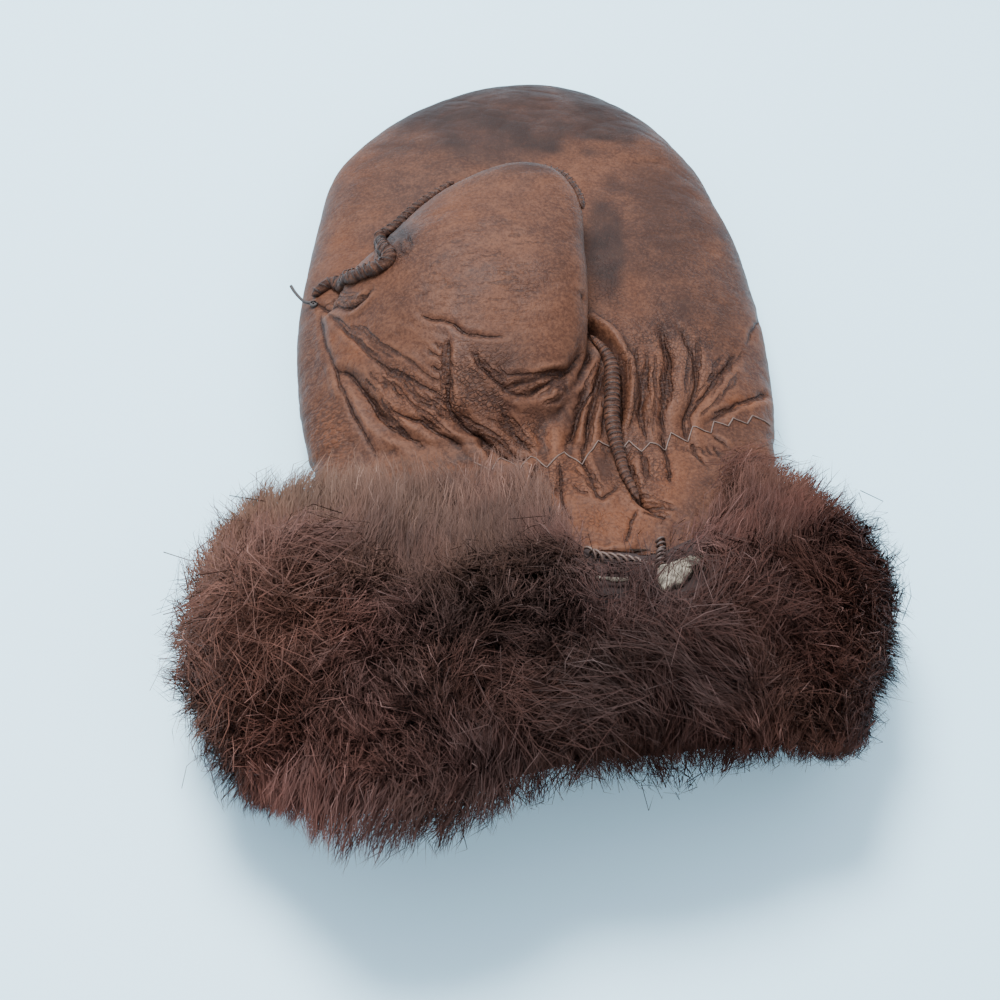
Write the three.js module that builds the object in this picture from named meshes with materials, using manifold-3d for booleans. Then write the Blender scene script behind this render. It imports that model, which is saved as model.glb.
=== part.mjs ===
// A leather mitten with a deep fur cuff, lying on its back with the palm up and the thumb folded
// across the palm. Three leather panels make the hollow hand: the back, which wraps up over the
// lower left side, the palm, and the thumb panel, which is one piece with the ball of the thumb.
// Overcast seams stand up between them as ridges. A fur strip is sewn round the open end.
// Millimetres. +Z is up, +Y runs from the cuff to the fingertips, and the elastic line round the
// wrist is y = 0 until the finished mitten is moved onto its reference point.
import * as THREE from "three";
import { mergeVertices } from "three/addons/utils/BufferGeometryUtils.js";
import Module from "manifold-3d";

const wasm = await Module();
wasm.setup();
const { clamp, lerp, smoothstep, degToRad } = THREE.MathUtils;

// Hand
const HAND_LENGTH = 159; // elastic line to fingertip
const HAND_WIDTH = 114;
const HAND_THICKNESS = 28;
const GAUNTLET_LENGTH = 33; // elastic line to the sewn edge of the fur
const LEATHER_WALL = 2.2; // leather with its backing
const FLANK_POWER = 0.94; // 1 is an ellipse, less is squarer
const GATHER_COUNT = 14; // elastic ruffles round the wrist
const GATHER_HEIGHT = 0.9;
const GATHER_REACH = 13; // how far a ruffle runs from the elastic

// Thumb
const THUMB_LENGTH = 89; // elastic line to thumb tip
const THUMB_WIDTH = 60;
const THUMB_RISE = 14; // top of the thumb above the palm
const THUMB_X = -18; // middle of the thumb
const THUMB_SOFT_FLANK = 1.7; // slope of its left side: 2 is a parabola, 1 an ellipse
const THUMB_ROLLED_FLANK = 0.85; // its right side, which is rolled over

// Seams
const SEAM_GAP = 0.3; // between two panels
const SEAT_GAP = 0.3; // between a ridge or the fur and what it lies on
const PALM_RIDGE = 2.3; // radii of the overcast ridges
const WRIST_RIDGE = 2.0;
const TIP_RIDGE = 1.5;
const RIDGE_BEAD = 0.1; // swell of the ridge between its stitches, as a share of the radius
const RIDGE_STEP = 3; // between two sections of a ridge
const RIDGE_SIDES = 6;

// Fur cuff
const PILE = 21; // depth of the fur
const CUFF_BAND = 27; // width of the fur strip, from the sewn edge to the mouth
const MOUTH_LINING = 2.6; // fur strip turned in at the mouth
const CUFF_SKEW = 7; // degrees that the open end is turned about the vertical
const SKEW_FADE = 60; // the turn is gone this far up the hand
const LOCKS_AROUND = 13;
const LOCK_RADIUS = 13;
const LOCK_SIDES = 5;
const SKIN_LENGTH = 34; // bare edge of the fur strip, where its ends meet
const SKIN_WIDTH = 9;
const SKIN_THICKNESS = 1.2;

// Hand sections from the sewn edge to the fingertip. along is a share of HAND_LENGTH, or of
// GAUNTLET_LENGTH below the elastic. half and centre are shares of half the width. low, edge and
// top are heights as shares of HAND_THICKNESS. A low below 0 is pressed flat on the ground.
const HAND_SECTIONS = [
  { along: -1, half: 0.93, centre: 0.03, low: 0.28, edge: 0.67, top: 1.04 },
  { along: -0.5, half: 0.915, centre: 0.03, low: 0.21, edge: 0.62, top: 1.02 },
  { along: 0, half: 0.905, centre: 0.03, low: 0.12, edge: 0.53, top: 0.94 },
  { along: 0.08, half: 0.938, centre: 0.02, low: 0.02, edge: 0.48, top: 0.97 },
  { along: 0.185, half: 0.985, centre: -0.005, low: -0.07, edge: 0.445, top: 0.99 },
  { along: 0.35, half: 1.005, centre: -0.028, low: -0.09, edge: 0.43, top: 1 },
  { along: 0.53, half: 0.972, centre: -0.039, low: -0.09, edge: 0.43, top: 0.985 },
  { along: 0.69, half: 0.9, centre: -0.07, low: -0.09, edge: 0.43, top: 0.95 },
  { along: 0.778, half: 0.81, centre: -0.07, low: -0.08, edge: 0.425, top: 0.91 },
  { along: 0.867, half: 0.655, centre: -0.055, low: -0.065, edge: 0.41, top: 0.84 },
  { along: 0.926, half: 0.5, centre: -0.04, low: -0.03, edge: 0.4, top: 0.75 },
  { along: 0.969, half: 0.33, centre: -0.01, low: 0.04, edge: 0.39, top: 0.64 },
  { along: 0.993, half: 0.16, centre: 0.02, low: 0.17, edge: 0.38, top: 0.5 },
  { along: 1, half: 0.06, centre: 0.035, low: 0.29, edge: 0.375, top: 0.44 },
];
const FINE_ROWS = 5; // the rows up to here carry the folds, so they get more sections

// Thumb sections from the wrist to the thumb tip. along is a share of THUMB_LENGTH, left and right
// are shares of half THUMB_WIDTH from THUMB_X, and the heights are shares of THUMB_RISE above
// HAND_THICKNESS. The left side grows out of the palm and the right side lies free over it.
const THUMB_SECTIONS = [
  { along: 0.03, left: -0.5, right: 0.55, rimLeft: -0.8, rimRight: -0.8, top: -0.55, low: -1.1 },
  { along: 0.12, left: -0.63, right: 0.74, rimLeft: -0.62, rimRight: -0.3, top: 0.2, low: -1.1 },
  { along: 0.28, left: -0.86, right: 0.94, rimLeft: -0.55, rimRight: 0.0, top: 0.66, low: -1 },
  { along: 0.47, left: -1.0, right: 0.985, rimLeft: -0.4, rimRight: 0.4, top: 0.93, low: -0.57 },
  { along: 0.63, left: -0.95, right: 0.985, rimLeft: -0.15, rimRight: 0.5, top: 1, low: -0.04 },
  { along: 0.74, left: -0.72, right: 0.98, rimLeft: 0.0, rimRight: 0.54, top: 1, low: 0.1 },
  { along: 0.83, left: -0.53, right: 0.96, rimLeft: 0.08, rimRight: 0.54, top: 0.97, low: 0.18 },
  { along: 0.9, left: -0.35, right: 0.9, rimLeft: 0.14, rimRight: 0.54, top: 0.93, low: 0.24 },
  { along: 0.955, left: -0.08, right: 0.8, rimLeft: 0.26, rimRight: 0.56, top: 0.86, low: 0.31 },
  { along: 0.995, left: 0.24, right: 0.62, rimLeft: 0.42, rimRight: 0.57, top: 0.72, low: 0.42 },
];

const FINE_THUMB_ROWS = 4;

// Where the back panel meets the thumb panel, from the sewn edge to the left side of the hand.
// across is a share of half HAND_WIDTH and along a share of THUMB_LENGTH.
const LEFT_SEAM = [
  { across: -0.53, along: -0.6 },
  { across: -0.58, along: -0.12 },
  { across: -0.66, along: 0.06 },
  { across: -0.83, along: 0.32 },
  { across: -0.905, along: 0.53 },
  { across: -1.01, along: 0.7 },
];
// Overcast seam from the left side of the hand up to the thumb, and the seam from the thumb's
// crotch down to the sewn edge. across is a share of half THUMB_WIDTH from THUMB_X.
const PALM_SEAM = [
  { across: -1.25, along: 0.7 },
  { across: -1.1, along: 0.69 },
  { across: -0.86, along: 0.685 },
  { across: -0.7, along: 0.7 },
  { across: -0.66, along: 0.75 },
  { across: -0.55, along: 0.82 },
  { across: -0.36, along: 0.89 },
  { across: -0.18, along: 0.945 },
];
const WRIST_SEAM = [
  { across: 1.03, along: 0.38 },
  { across: 1.14, along: 0.28 },
  { across: 1.17, along: 0.17 },
  { across: 1.15, along: 0.05 },
  { across: 1.29, along: -0.13 },
  { across: 1.38, along: -0.31 },
];

// Folds in the leather. across and toAcross are shares of half HAND_WIDTH, along and toAlong are
// shares of HAND_LENGTH, spread is a share of HAND_WIDTH and rise a share of HAND_THICKNESS.
const FOLDS = [
  // ridge rolled up beside the wrist seam, and the valley behind it
  { across: 0.32, along: 0.24, toAcross: 0.43, toAlong: 0.12, spread: 0.045, rise: 0.12 },
  { across: 0.43, along: 0.12, toAcross: 0.41, toAlong: 0.02, spread: 0.04, rise: 0.09 },
  { across: 0.54, along: 0.22, toAcross: 0.55, toAlong: 0.04, spread: 0.04, rise: -0.06 },
  // second ridge towards the little finger, and the crease at the right edge
  { across: 0.66, along: 0.24, toAcross: 0.67, toAlong: 0.05, spread: 0.045, rise: 0.06 },
  { across: 0.74, along: 0.11, toAcross: 0.92, toAlong: 0.15, spread: 0.04, rise: -0.06 },
  // slack under the thumb's free end, and the flap that hangs from its crotch
  { across: -0.4, along: 0.1, toAcross: -0.12, toAlong: 0.02, spread: 0.045, rise: -0.08 },
  { across: 0.12, along: 0.12, toAcross: -0.1, toAlong: 0.05, spread: 0.045, rise: 0.1 },
  // long slack folds from the left seam down to the elastic
  { across: -0.72, along: 0.18, toAcross: -0.47, toAlong: 0.02, spread: 0.042, rise: -0.06 },
  { across: -0.58, along: 0.14, toAcross: -0.3, toAlong: 0.0, spread: 0.042, rise: 0.07 },
];

// Depth of the fur over the leather, from its tips on the hand to the mouth. along is a share of
// the whole furred length, and depth a share of PILE.
const FUR_SECTIONS = [
  { along: 0, depth: 0.04 },
  { along: 0.07, depth: 0.32 },
  { along: 0.18, depth: 0.6 },
  { along: 0.36, depth: 0.82 },
  { along: 0.56, depth: 0.88 },
  { along: 0.76, depth: 0.7 },
  { along: 0.9, depth: 0.4 },
  { along: 1, depth: 0.1 },
];
const FUR_UP_HAND = 1.15; // reach of the fur up the hand from its sewn edge, a share of PILE
const FUR_PAST_MOUTH = 1.15; // reach past the mouth over the top, and less below it
const FUR_BELOW_MOUTH = 0.4;
const FUR_AT_THUMB_SIDE = 1.3; // the fur is longer there, as a share of the reach past the mouth
const TOP_FLATTEN = 0.78; // the fur on top lies down, so it is less deep than at the sides
const RIGHT_FLATTEN = 0.72; // and the right side is pressed in
// Where the fur parts over the palm. across and spread are shares of the section's half width.
const PARTING = { across: 0.34, spread: 0.34, depth: 0.85 };
// Rows of locks. along as in FUR_SECTIONS, reach is a share of PILE beyond the fur's body, and
// comb is the lean towards the hand (above 0) or the mouth (below 0).
const LOCK_ROWS = [
  { along: 0.14, reach: 0.14, comb: 0.9 },
  { along: 0.36, reach: 0.26, comb: 0.4 },
  { along: 0.6, reach: 0.26, comb: -0.3 },
  { along: 0.84, reach: 0.2, comb: -0.9 },
];
// Sections of a lock: how far out and along the lean they lie, as shares of its reach.
const LOCK_SHAPE = [
  { out: 0, comb: 0, radius: 1 },
  { out: 0.65, comb: 0.25, radius: 0.75 },
  { out: 1, comb: 0.7, radius: 0.2 },
];
const FAR = 400; // larger than the mitten, for the cutting solids

// Facets
const HAND_OVER = 25; // points of a hand section on the palm side
const HAND_UNDER = 10; // and on the back
const THUMB_OVER = 18;
const THUMB_UNDER = 8;
const TOP_EVENNESS = 0.15; // 0 crowds the points at the sides of the hand
const FUR_AROUND = 26;
const FUR_RINGS = 8;

// A smooth value of every column of a table, between its rows.
function rowAt(table, t) {
  const i = clamp(Math.floor(t), 0, table.length - 2);
  const u = t - i;
  const [a, b, c, d] = [i - 1, i, i + 1, i + 2].map((k) => table[clamp(k, 0, table.length - 1)]);
  const row = {};
  for (const key of Object.keys(b)) {
    const bend = 2 * a[key] - 5 * b[key] + 4 * c[key] - d[key];
    const twist = 3 * b[key] - a[key] - 3 * c[key] + d[key];
    row[key] = b[key] + 0.5 * u * (c[key] - a[key] + u * (bend + u * twist));
  }
  return row;
}

// The place between the rows of a table where a rising column has a given value.
function rowWhere(table, value, column = "along") {
  let [low, high] = [0, table.length - 1];
  for (let step = 0; step < 24; step++) {
    const middle = (low + high) / 2;
    if (rowAt(table, middle)[column] < value) low = middle;
    else high = middle;
  }
  return (low + high) / 2;
}

// A repeatable number from 0 to 1.
function scatter(seed) {
  const wave = Math.sin(seed * 127.1 + 11.7) * 43758.5453;
  return wave - Math.floor(wave);
}

function powered(value, power) {
  return Math.sign(value) * Math.abs(value) ** power;
}

// The open end is turned about the vertical, and the turn fades out up the hand.
function skewAt(x, y) {
  const share = 1 - smoothstep(y, -GAUNTLET_LENGTH, SKEW_FADE);
  return x * Math.tan(degToRad(CUFF_SKEW)) * share;
}

function alongHand(share) {
  return share * (share < 0 ? GAUNTLET_LENGTH : HAND_LENGTH);
}

function segmentDistance(x, y, fold) {
  const start = new THREE.Vector2((fold.across * HAND_WIDTH) / 2, fold.along * HAND_LENGTH);
  const end = new THREE.Vector2((fold.toAcross * HAND_WIDTH) / 2, fold.toAlong * HAND_LENGTH);
  const run = end.clone().sub(start);
  const share = clamp((x - start.x) * run.x + (y - start.y) * run.y, 0, run.lengthSq()) / run.lengthSq();
  return start.addScaledVector(run, share).distanceTo(new THREE.Vector2(x, y));
}

// Height that the folds add to the leather above (x, y).
function foldHeight(x, y) {
  return FOLDS.reduce((sum, fold) => {
    const near = segmentDistance(x, y, fold) / (fold.spread * HAND_WIDTH);
    return sum + fold.rise * HAND_THICKNESS * Math.exp(-near * near);
  }, 0);
}

function gatherHeight(angle, y) {
  const near = y / GATHER_REACH;
  return GATHER_HEIGHT * Math.cos(GATHER_COUNT * angle) * Math.exp(-near * near);
}

// A point of the smooth hand. The angle runs round the section, and 90 degrees is the palm.
function smoothHandPoint(t, angle) {
  const s = rowAt(HAND_SECTIONS, t);
  const across = powered(Math.cos(angle), FLANK_POWER);
  const rise = powered(Math.sin(angle), FLANK_POWER);
  const x = ((s.centre + s.half * across) * HAND_WIDTH) / 2;
  const height = s.edge + rise * (rise > 0 ? s.top - s.edge : s.edge - s.low);
  const y = alongHand(s.along);
  return new THREE.Vector3(x, y + skewAt(x, y), Math.max(height * HAND_THICKNESS, 0));
}

function smoothThumbPoint(t, angle) {
  const s = rowAt(THUMB_SECTIONS, t);
  const across = Math.cos(angle);
  const toRight = (across + 1) / 2;
  const rise = powered(Math.sin(angle), lerp(THUMB_SOFT_FLANK, THUMB_ROLLED_FLANK, toRight));
  const share = lerp(s.left, s.right, toRight);
  const rim = lerp(s.rimLeft, s.rimRight, toRight);
  const middle = (s.rimLeft + s.rimRight) / 2;
  const height = rim + rise * (rise > 0 ? s.top - middle : middle - s.low);
  return new THREE.Vector3(
    THUMB_X + (share * THUMB_WIDTH) / 2,
    s.along * THUMB_LENGTH,
    HAND_THICKNESS + height * THUMB_RISE,
  );
}

// The outward direction of a surface, from two short steps along it.
function outward(surface, t, angle, last) {
  const step = 0.02;
  const alongStep = surface(Math.min(t + step, last), angle).sub(surface(Math.max(t - step, 0), angle));
  const aroundStep = surface(t, angle + step).sub(surface(t, angle - step));
  return alongStep.cross(aroundStep).normalize();
}

// A point of a leather surface, moved outwards by grow, with its folds and gathers on top.
function leatherPoint(surface, table, t, angle, grow, gathered) {
  const point = surface(t, angle);
  const direction = outward(surface, t, angle, table.length - 1);
  const facingUp = smoothstep(Math.sin(angle), 0.1, 0.55);
  point.z += foldHeight(point.x, point.y) * facingUp;
  const offGround = smoothstep(point.z, 0, HAND_THICKNESS / 4);
  const ruffle = gathered ? gatherHeight(angle, point.y) * offGround : 0;
  return point.addScaledVector(direction, grow + ruffle);
}

const handPoint = (t, angle, grow = 0, gathered = true) =>
  leatherPoint(smoothHandPoint, HAND_SECTIONS, t, angle, grow, gathered);
const thumbPoint = (t, angle, grow = 0) =>
  leatherPoint(smoothThumbPoint, THUMB_SECTIONS, t, angle, grow, false);

// Height of the palm leather at (x, y), without the thumb.
function palmHeight(x, y) {
  const share = (y - skewAt(x, y)) / (y < 0 ? GAUNTLET_LENGTH : HAND_LENGTH);
  const s = rowAt(HAND_SECTIONS, rowWhere(HAND_SECTIONS, share));
  const across = clamp(((2 * x) / HAND_WIDTH - s.centre) / s.half, -1, 1);
  const rise = (1 - Math.abs(across) ** (2 / FLANK_POWER)) ** (FLANK_POWER / 2);
  return (s.edge + rise * (s.top - s.edge)) * HAND_THICKNESS + foldHeight(x, y);
}

// Height of the thumb's upper surface at (x, y), and 0 beside the thumb.
function thumbHeight(x, y) {
  const s = rowAt(THUMB_SECTIONS, rowWhere(THUMB_SECTIONS, y / THUMB_LENGTH));
  const share = ((x - THUMB_X) * 2) / THUMB_WIDTH;
  const toRight = (share - s.left) / (s.right - s.left);
  if (toRight <= 0 || toRight >= 1) return 0;
  const power = lerp(THUMB_SOFT_FLANK, THUMB_ROLLED_FLANK, toRight);
  const rise = (1 - (2 * toRight - 1) ** 2) ** (power / 2);
  const rim = lerp(s.rimLeft, s.rimRight, toRight);
  const height = rim + rise * (s.top - (s.rimLeft + s.rimRight) / 2);
  return HAND_THICKNESS + height * THUMB_RISE;
}

// A closed mesh as a solid, with its faces pointing out.
function solidOf(geometry) {
  const bare = geometry.clone();
  for (const name of Object.keys(bare.attributes)) {
    if (name !== "position") bare.deleteAttribute(name);
  }
  const merged = mergeVertices(bare, 1e-4);
  const vertProperties = merged.attributes.position.array;
  const triVerts = new Uint32Array(merged.index.array);
  const made = new wasm.Manifold(new wasm.Mesh({ numProp: 3, vertProperties, triVerts }));
  if (made.volume() > 0) return made;
  return new wasm.Manifold(new wasm.Mesh({ numProp: 3, vertProperties, triVerts: triVerts.reverse() }));
}

function geometryOf(solid) {
  const mesh = solid.getMesh();
  const geometry = new THREE.BufferGeometry();
  geometry.setAttribute("position", new THREE.BufferAttribute(mesh.vertProperties, mesh.numProp));
  geometry.setIndex(new THREE.BufferAttribute(mesh.triVerts, 1));
  geometry.computeVertexNormals();
  return geometry;
}

// A closed solid through rings that have the same number of points, with a cap on each end.
function loft(rings) {
  const count = rings[0].length;
  const capCentre = (ring) =>
    ring.reduce((sum, p) => sum.add(p), new THREE.Vector3()).divideScalar(count);
  const points = [...rings.flat(), capCentre(rings[0]), capCentre(rings.at(-1))];
  const faces = [];
  for (let i = 0; i < rings.length - 1; i++) {
    for (let k = 0; k < count; k++) {
      const [a, b] = [i * count + k, i * count + ((k + 1) % count)];
      faces.push(a, b, b + count, a, b + count, a + count);
    }
  }
  const [foot, head] = [points.length - 2, points.length - 1];
  for (let k = 0; k < count; k++) {
    const next = (k + 1) % count;
    const end = (rings.length - 1) * count;
    faces.push(foot, next, k, head, end + k, end + next);
  }
  const geometry = new THREE.BufferGeometry().setFromPoints(points);
  geometry.setIndex(faces);
  return solidOf(geometry);
}

function ringOf(count, pointAt) {
  return Array.from({ length: count }, (_, k) => pointAt((k / count) * 2 * Math.PI));
}

// A ring with more points over the top than under it, evenly spread across the width.
function crowdedRing(over, under, pointAt) {
  const top = Array.from({ length: over }, (_, k) => {
    const share = k / over;
    return pointAt(Math.PI * share + TOP_EVENNESS * Math.sin(2 * Math.PI * share));
  });
  const bottom = Array.from({ length: under }, (_, k) => pointAt(Math.PI * (1 + k / under)));
  return [...top, ...bottom];
}

// Places between the rows of a section table, closer together up to a given row.
function stations(table, fineTo, fine, coarse) {
  const places = [];
  for (let t = 0; t < table.length - 1; t += t < fineTo ? 1 / fine : 1 / coarse) places.push(t);
  return [...places, table.length - 1];
}

function handRing(t, grow, gathered) {
  return crowdedRing(HAND_OVER, HAND_UNDER, (angle) => handPoint(t, angle, grow, gathered));
}

function handSolid({ grow = 0, fine = 3, coarse = 1, gathered = true }) {
  const places = stations(HAND_SECTIONS, FINE_ROWS, fine, coarse);
  return loft(places.map((t) => handRing(t, grow, gathered)));
}

function thumbSolid({ grow = 0, fine = 2, coarse = 1 }) {
  const places = stations(THUMB_SECTIONS, FINE_THUMB_ROWS, fine, coarse);
  return loft(
    places.map((t) => crowdedRing(THUMB_OVER, THUMB_UNDER, (angle) => thumbPoint(t, angle, grow))),
  );
}

// A solid that also reaches past both of its ends by a distance.
function spread(solid, distance) {
  return solid.add(solid.translate([0, distance, 0])).add(solid.translate([0, -distance, 0]));
}

// The hollow of the hand, which runs out through the sewn edge.
function handHollow() {
  const inner = handSolid({ grow: -LEATHER_WALL, fine: 2, coarse: 1, gathered: false });
  const hem = handRing(0.02, -LEATHER_WALL, false);
  const outside = hem.map((p) => p.clone().add(new THREE.Vector3(0, -2 * LEATHER_WALL, 0)));
  return inner.add(loft([hem, outside]));
}

// A vertical wall of cutting solid over an outline in the ground plane.
function prism(outline, low, high) {
  const shape = new THREE.Shape(outline);
  const geometry = new THREE.ExtrudeGeometry(shape, { depth: high - low, bevelEnabled: false });
  return solidOf(geometry.translate(0, 0, low));
}

// An open line in the ground plane, moved sideways by a distance (to the right of its direction).
function shifted(line, distance) {
  const runs = line.slice(1).map((point, i) => point.clone().sub(line[i]).normalize());
  return line.map((point, i) => {
    const before = runs[Math.max(i - 1, 0)];
    const after = runs[Math.min(i, runs.length - 1)];
    const run = before.clone().add(after).normalize();
    const side = new THREE.Vector2(run.y, -run.x);
    return point.clone().addScaledVector(side, distance / Math.max(run.dot(after), 0.4));
  });
}

const leftSeamLine = LEFT_SEAM.map(
  (p) => new THREE.Vector2((p.across * HAND_WIDTH) / 2, p.along * THUMB_LENGTH),
);
const onThumb = (p) =>
  new THREE.Vector2(THUMB_X + (p.across * THUMB_WIDTH) / 2, p.along * THUMB_LENGTH);
const palmSeamLine = PALM_SEAM.map(onThumb);
const wristSeamLine = WRIST_SEAM.map(onThumb);

// Everything above the seam that runs round the side of the hand, and right of the left seam.
function aboveSideSeam(gap) {
  const profile = HAND_SECTIONS.map(
    (s) => new THREE.Vector2(alongHand(s.along), s.edge * HAND_THICKNESS + gap),
  );
  const [first, last] = [profile[0], profile.at(-1)];
  const shape = new THREE.Shape([
    new THREE.Vector2(-FAR, first.y),
    ...profile,
    new THREE.Vector2(FAR, last.y),
    new THREE.Vector2(FAR, FAR),
    new THREE.Vector2(-FAR, FAR),
  ]);
  const block = new THREE.ExtrudeGeometry(shape, { depth: 2 * FAR, bevelEnabled: false });
  // the outline lies in y and z, and is drawn out along x
  block.applyMatrix4(
    new THREE.Matrix4().makeBasis(
      new THREE.Vector3(0, 1, 0),
      new THREE.Vector3(0, 0, 1),
      new THREE.Vector3(1, 0, 0),
    ),
  );
  block.translate(-FAR, 0, 0);
  const line = shifted(leftSeamLine, gap);
  const right = [
    new THREE.Vector2(line[0].x, -FAR),
    ...line,
    new THREE.Vector2(-FAR, line.at(-1).y + gap),
    new THREE.Vector2(-FAR, FAR),
    new THREE.Vector2(FAR, FAR),
    new THREE.Vector2(FAR, -FAR),
  ];
  return solidOf(block).intersect(prism(right, -FAR, FAR));
}

// The ground that the thumb panel covers on the palm: up the left seam, along the palm seam to the
// thumb, under the thumb to its crotch, and down the wrist seam.
function thumbPanelGround(gap) {
  const across = palmSeamLine.slice(0, 5);
  const boundary = [...across, ...wristSeamLine];
  const line = shifted(boundary, gap);
  return prism(
    [
      new THREE.Vector2(-FAR, line[0].y),
      ...line,
      new THREE.Vector2(line.at(-1).x, -FAR),
      new THREE.Vector2(-FAR, -FAR),
    ],
    0,
    FAR,
  );
}

// The three leather panels, cut from one hollow form along the seams.
function leatherPanels() {
  const hollow = handHollow();
  const shell = handSolid({}).subtract(hollow);
  const back = shell.subtract(aboveSideSeam(-SEAM_GAP / 2));
  const upper = shell.intersect(aboveSideSeam(SEAM_GAP / 2));
  const thumbOutside = thumbSolid({});
  const thumbHollow = thumbSolid({ grow: -LEATHER_WALL, fine: 2, coarse: 1 });
  const palm = upper
    .subtract(thumbPanelGround(-SEAM_GAP / 2))
    .subtract(spread(thumbSolid({ grow: SEAM_GAP }), SEAM_GAP));
  const ball = upper.intersect(thumbPanelGround(SEAM_GAP / 2));
  const pouch = thumbOutside
    .subtract(hollow)
    .intersect(thumbOutside.intersect(aboveSideSeam(SEAM_GAP / 2)));
  const thumb = ball.add(pouch).subtract(thumbHollow);
  return { back: largest(back), palm: largest(palm), thumb: largest(thumb) };
}

// The biggest body of a cut solid, without the crumbs that a cut may leave.
function largest(solid) {
  return solid.decompose().sort((a, b) => b.volume() - a.volume())[0];
}

// An overcast seam: a beaded ridge along a path, laid on the leather.
function ridge(path, radius, grow = 0) {
  const curve = new THREE.CatmullRomCurve3(path);
  const steps = Math.round(curve.getLength() / RIDGE_STEP);
  const frames = curve.computeFrenetFrames(steps, false);
  const rings = frames.tangents.map((_, i) => {
    const centre = curve.getPointAt(i / steps);
    const ends = Math.min(1, 0.45 + 0.3 * Math.min(i, steps - i));
    const size = radius * ends * (1 + (i % 2 ? RIDGE_BEAD : -RIDGE_BEAD)) + grow;
    return ringOf(RIDGE_SIDES, (angle) =>
      centre
        .clone()
        .addScaledVector(frames.normals[i], size * Math.cos(angle))
        .addScaledVector(frames.binormals[i], size * Math.sin(angle)),
    );
  });
  return loft(rings);
}

// Points of a seam line, resting on the higher of the palm and the thumb.
function onLeather(line, lift) {
  return line.map((p) => {
    const height = Math.max(palmHeight(p.x, p.y), thumbHeight(p.x, p.y));
    return new THREE.Vector3(p.x, p.y, height + lift);
  });
}

const palmRidgePath = onLeather(palmSeamLine, PALM_RIDGE * 0.7);
const wristRidgePath = onLeather(wristSeamLine, WRIST_RIDGE * 0.6);
// Round the free corner of the thumb's tip, on its right rim.
const tipRidgePath = [9, 8.6, 8.1, 7.5, 6.8, 6.1].map((t) => thumbPoint(t, -0.1, TIP_RIDGE * 0.75));

function seatedRidge(path, radius, grow = 0) {
  return largest(
    ridge(path, radius, grow)
      .subtract(handSolid({ grow: SEAT_GAP - grow }))
      .subtract(thumbSolid({ grow: SEAT_GAP - grow })),
  );
}

// Fur cuff. Its length runs from the fur's tips on the hand to its tips past the mouth.
const mouthY = -GAUNTLET_LENGTH - CUFF_BAND;

// A point round the wrist: the hand's section as far as the sewn edge, and that edge's section
// from there to the mouth.
function wristPoint(y, angle) {
  const share = Math.max(y / GAUNTLET_LENGTH, -1);
  const t = rowWhere(HAND_SECTIONS, y < 0 ? share : y / HAND_LENGTH);
  const point = smoothHandPoint(t, angle);
  if (y >= -GAUNTLET_LENGTH) return point;
  return point.add(new THREE.Vector3(0, y + GAUNTLET_LENGTH, 0));
}

function wristOutward(angle) {
  const [before, after] = [-0.02, 0.02].map((step) => wristPoint(-GAUNTLET_LENGTH, angle + step));
  const around = after.sub(before);
  return new THREE.Vector3(around.z, 0, -around.x).normalize();
}

// How much the fur parts at a place round the wrist, from 0 to 1.
function partingAt(angle) {
  const across = (powered(Math.cos(angle), FLANK_POWER) - PARTING.across) / PARTING.spread;
  return Math.exp(-(across ** 4)) * smoothstep(Math.sin(angle), 0, 0.4);
}

function furY(along, angle) {
  const start = FUR_UP_HAND * PILE * (1 - partingAt(angle)) - GAUNTLET_LENGTH;
  const past = lerp(FUR_BELOW_MOUTH, FUR_PAST_MOUTH, (Math.sin(angle) + 1) / 2) * PILE;
  const thumbSide = lerp(1, FUR_AT_THUMB_SIDE, smoothstep(-Math.cos(angle), 0.2, 0.9));
  return lerp(start, mouthY - past * thumbSide, along);
}

// How deep the fur lies at a place round the wrist, as a share of PILE.
function furDepth(along, angle) {
  const body = rowAt(FUR_SECTIONS, rowWhere(FUR_SECTIONS, along)).depth;
  const top = smoothstep(Math.sin(angle), 0.2, 0.9);
  const right = smoothstep(Math.cos(angle), 0.3, 1);
  const parted = PARTING.depth * partingAt(angle) * (1 - smoothstep(along, 0.15, 0.5));
  const lumps = 1 + 0.09 * Math.sin(5 * angle + 1) + 0.05 * Math.sin(9 * angle + 6 * along);
  return body * lumps * lerp(1, TOP_FLATTEN, top) * lerp(1, RIGHT_FLATTEN, right) * (1 - parted);
}

function furPoint(along, angle, extra = 0) {
  const depth = (furDepth(along, angle) + extra) * PILE;
  return wristPoint(furY(along, angle), angle).addScaledVector(wristOutward(angle), depth);
}

// A lock of fur: a bent, leaning tuft with its root inside the cuff.
function lock(row, angle, seed) {
  const along = clamp(row.along + 0.06 * (scatter(seed) - 0.5), 0, 1);
  const place = angle + (scatter(seed + 0.3) - 0.5) * (Math.PI / LOCKS_AROUND);
  const root = furPoint(along, place, -0.3);
  const reach = PILE * (row.reach + 0.3) * (0.85 + 0.4 * scatter(seed + 0.6));
  const out = wristOutward(place);
  const lean = new THREE.Vector3(0.5 * (scatter(seed + 0.9) - 0.5), row.comb, 0);
  const across = new THREE.Vector3(0, 1, 0).cross(out).normalize();
  const rings = LOCK_SHAPE.map(({ out: rise, comb, radius }) => {
    const centre = root.clone().addScaledVector(out, rise * reach).addScaledVector(lean, comb * reach);
    return ringOf(LOCK_SIDES, (turn) =>
      centre
        .clone()
        .addScaledVector(across, radius * LOCK_RADIUS * Math.cos(turn))
        .add(new THREE.Vector3(0, radius * LOCK_RADIUS * 0.8 * Math.sin(turn), 0)),
    );
  });
  return loft(rings);
}

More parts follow.
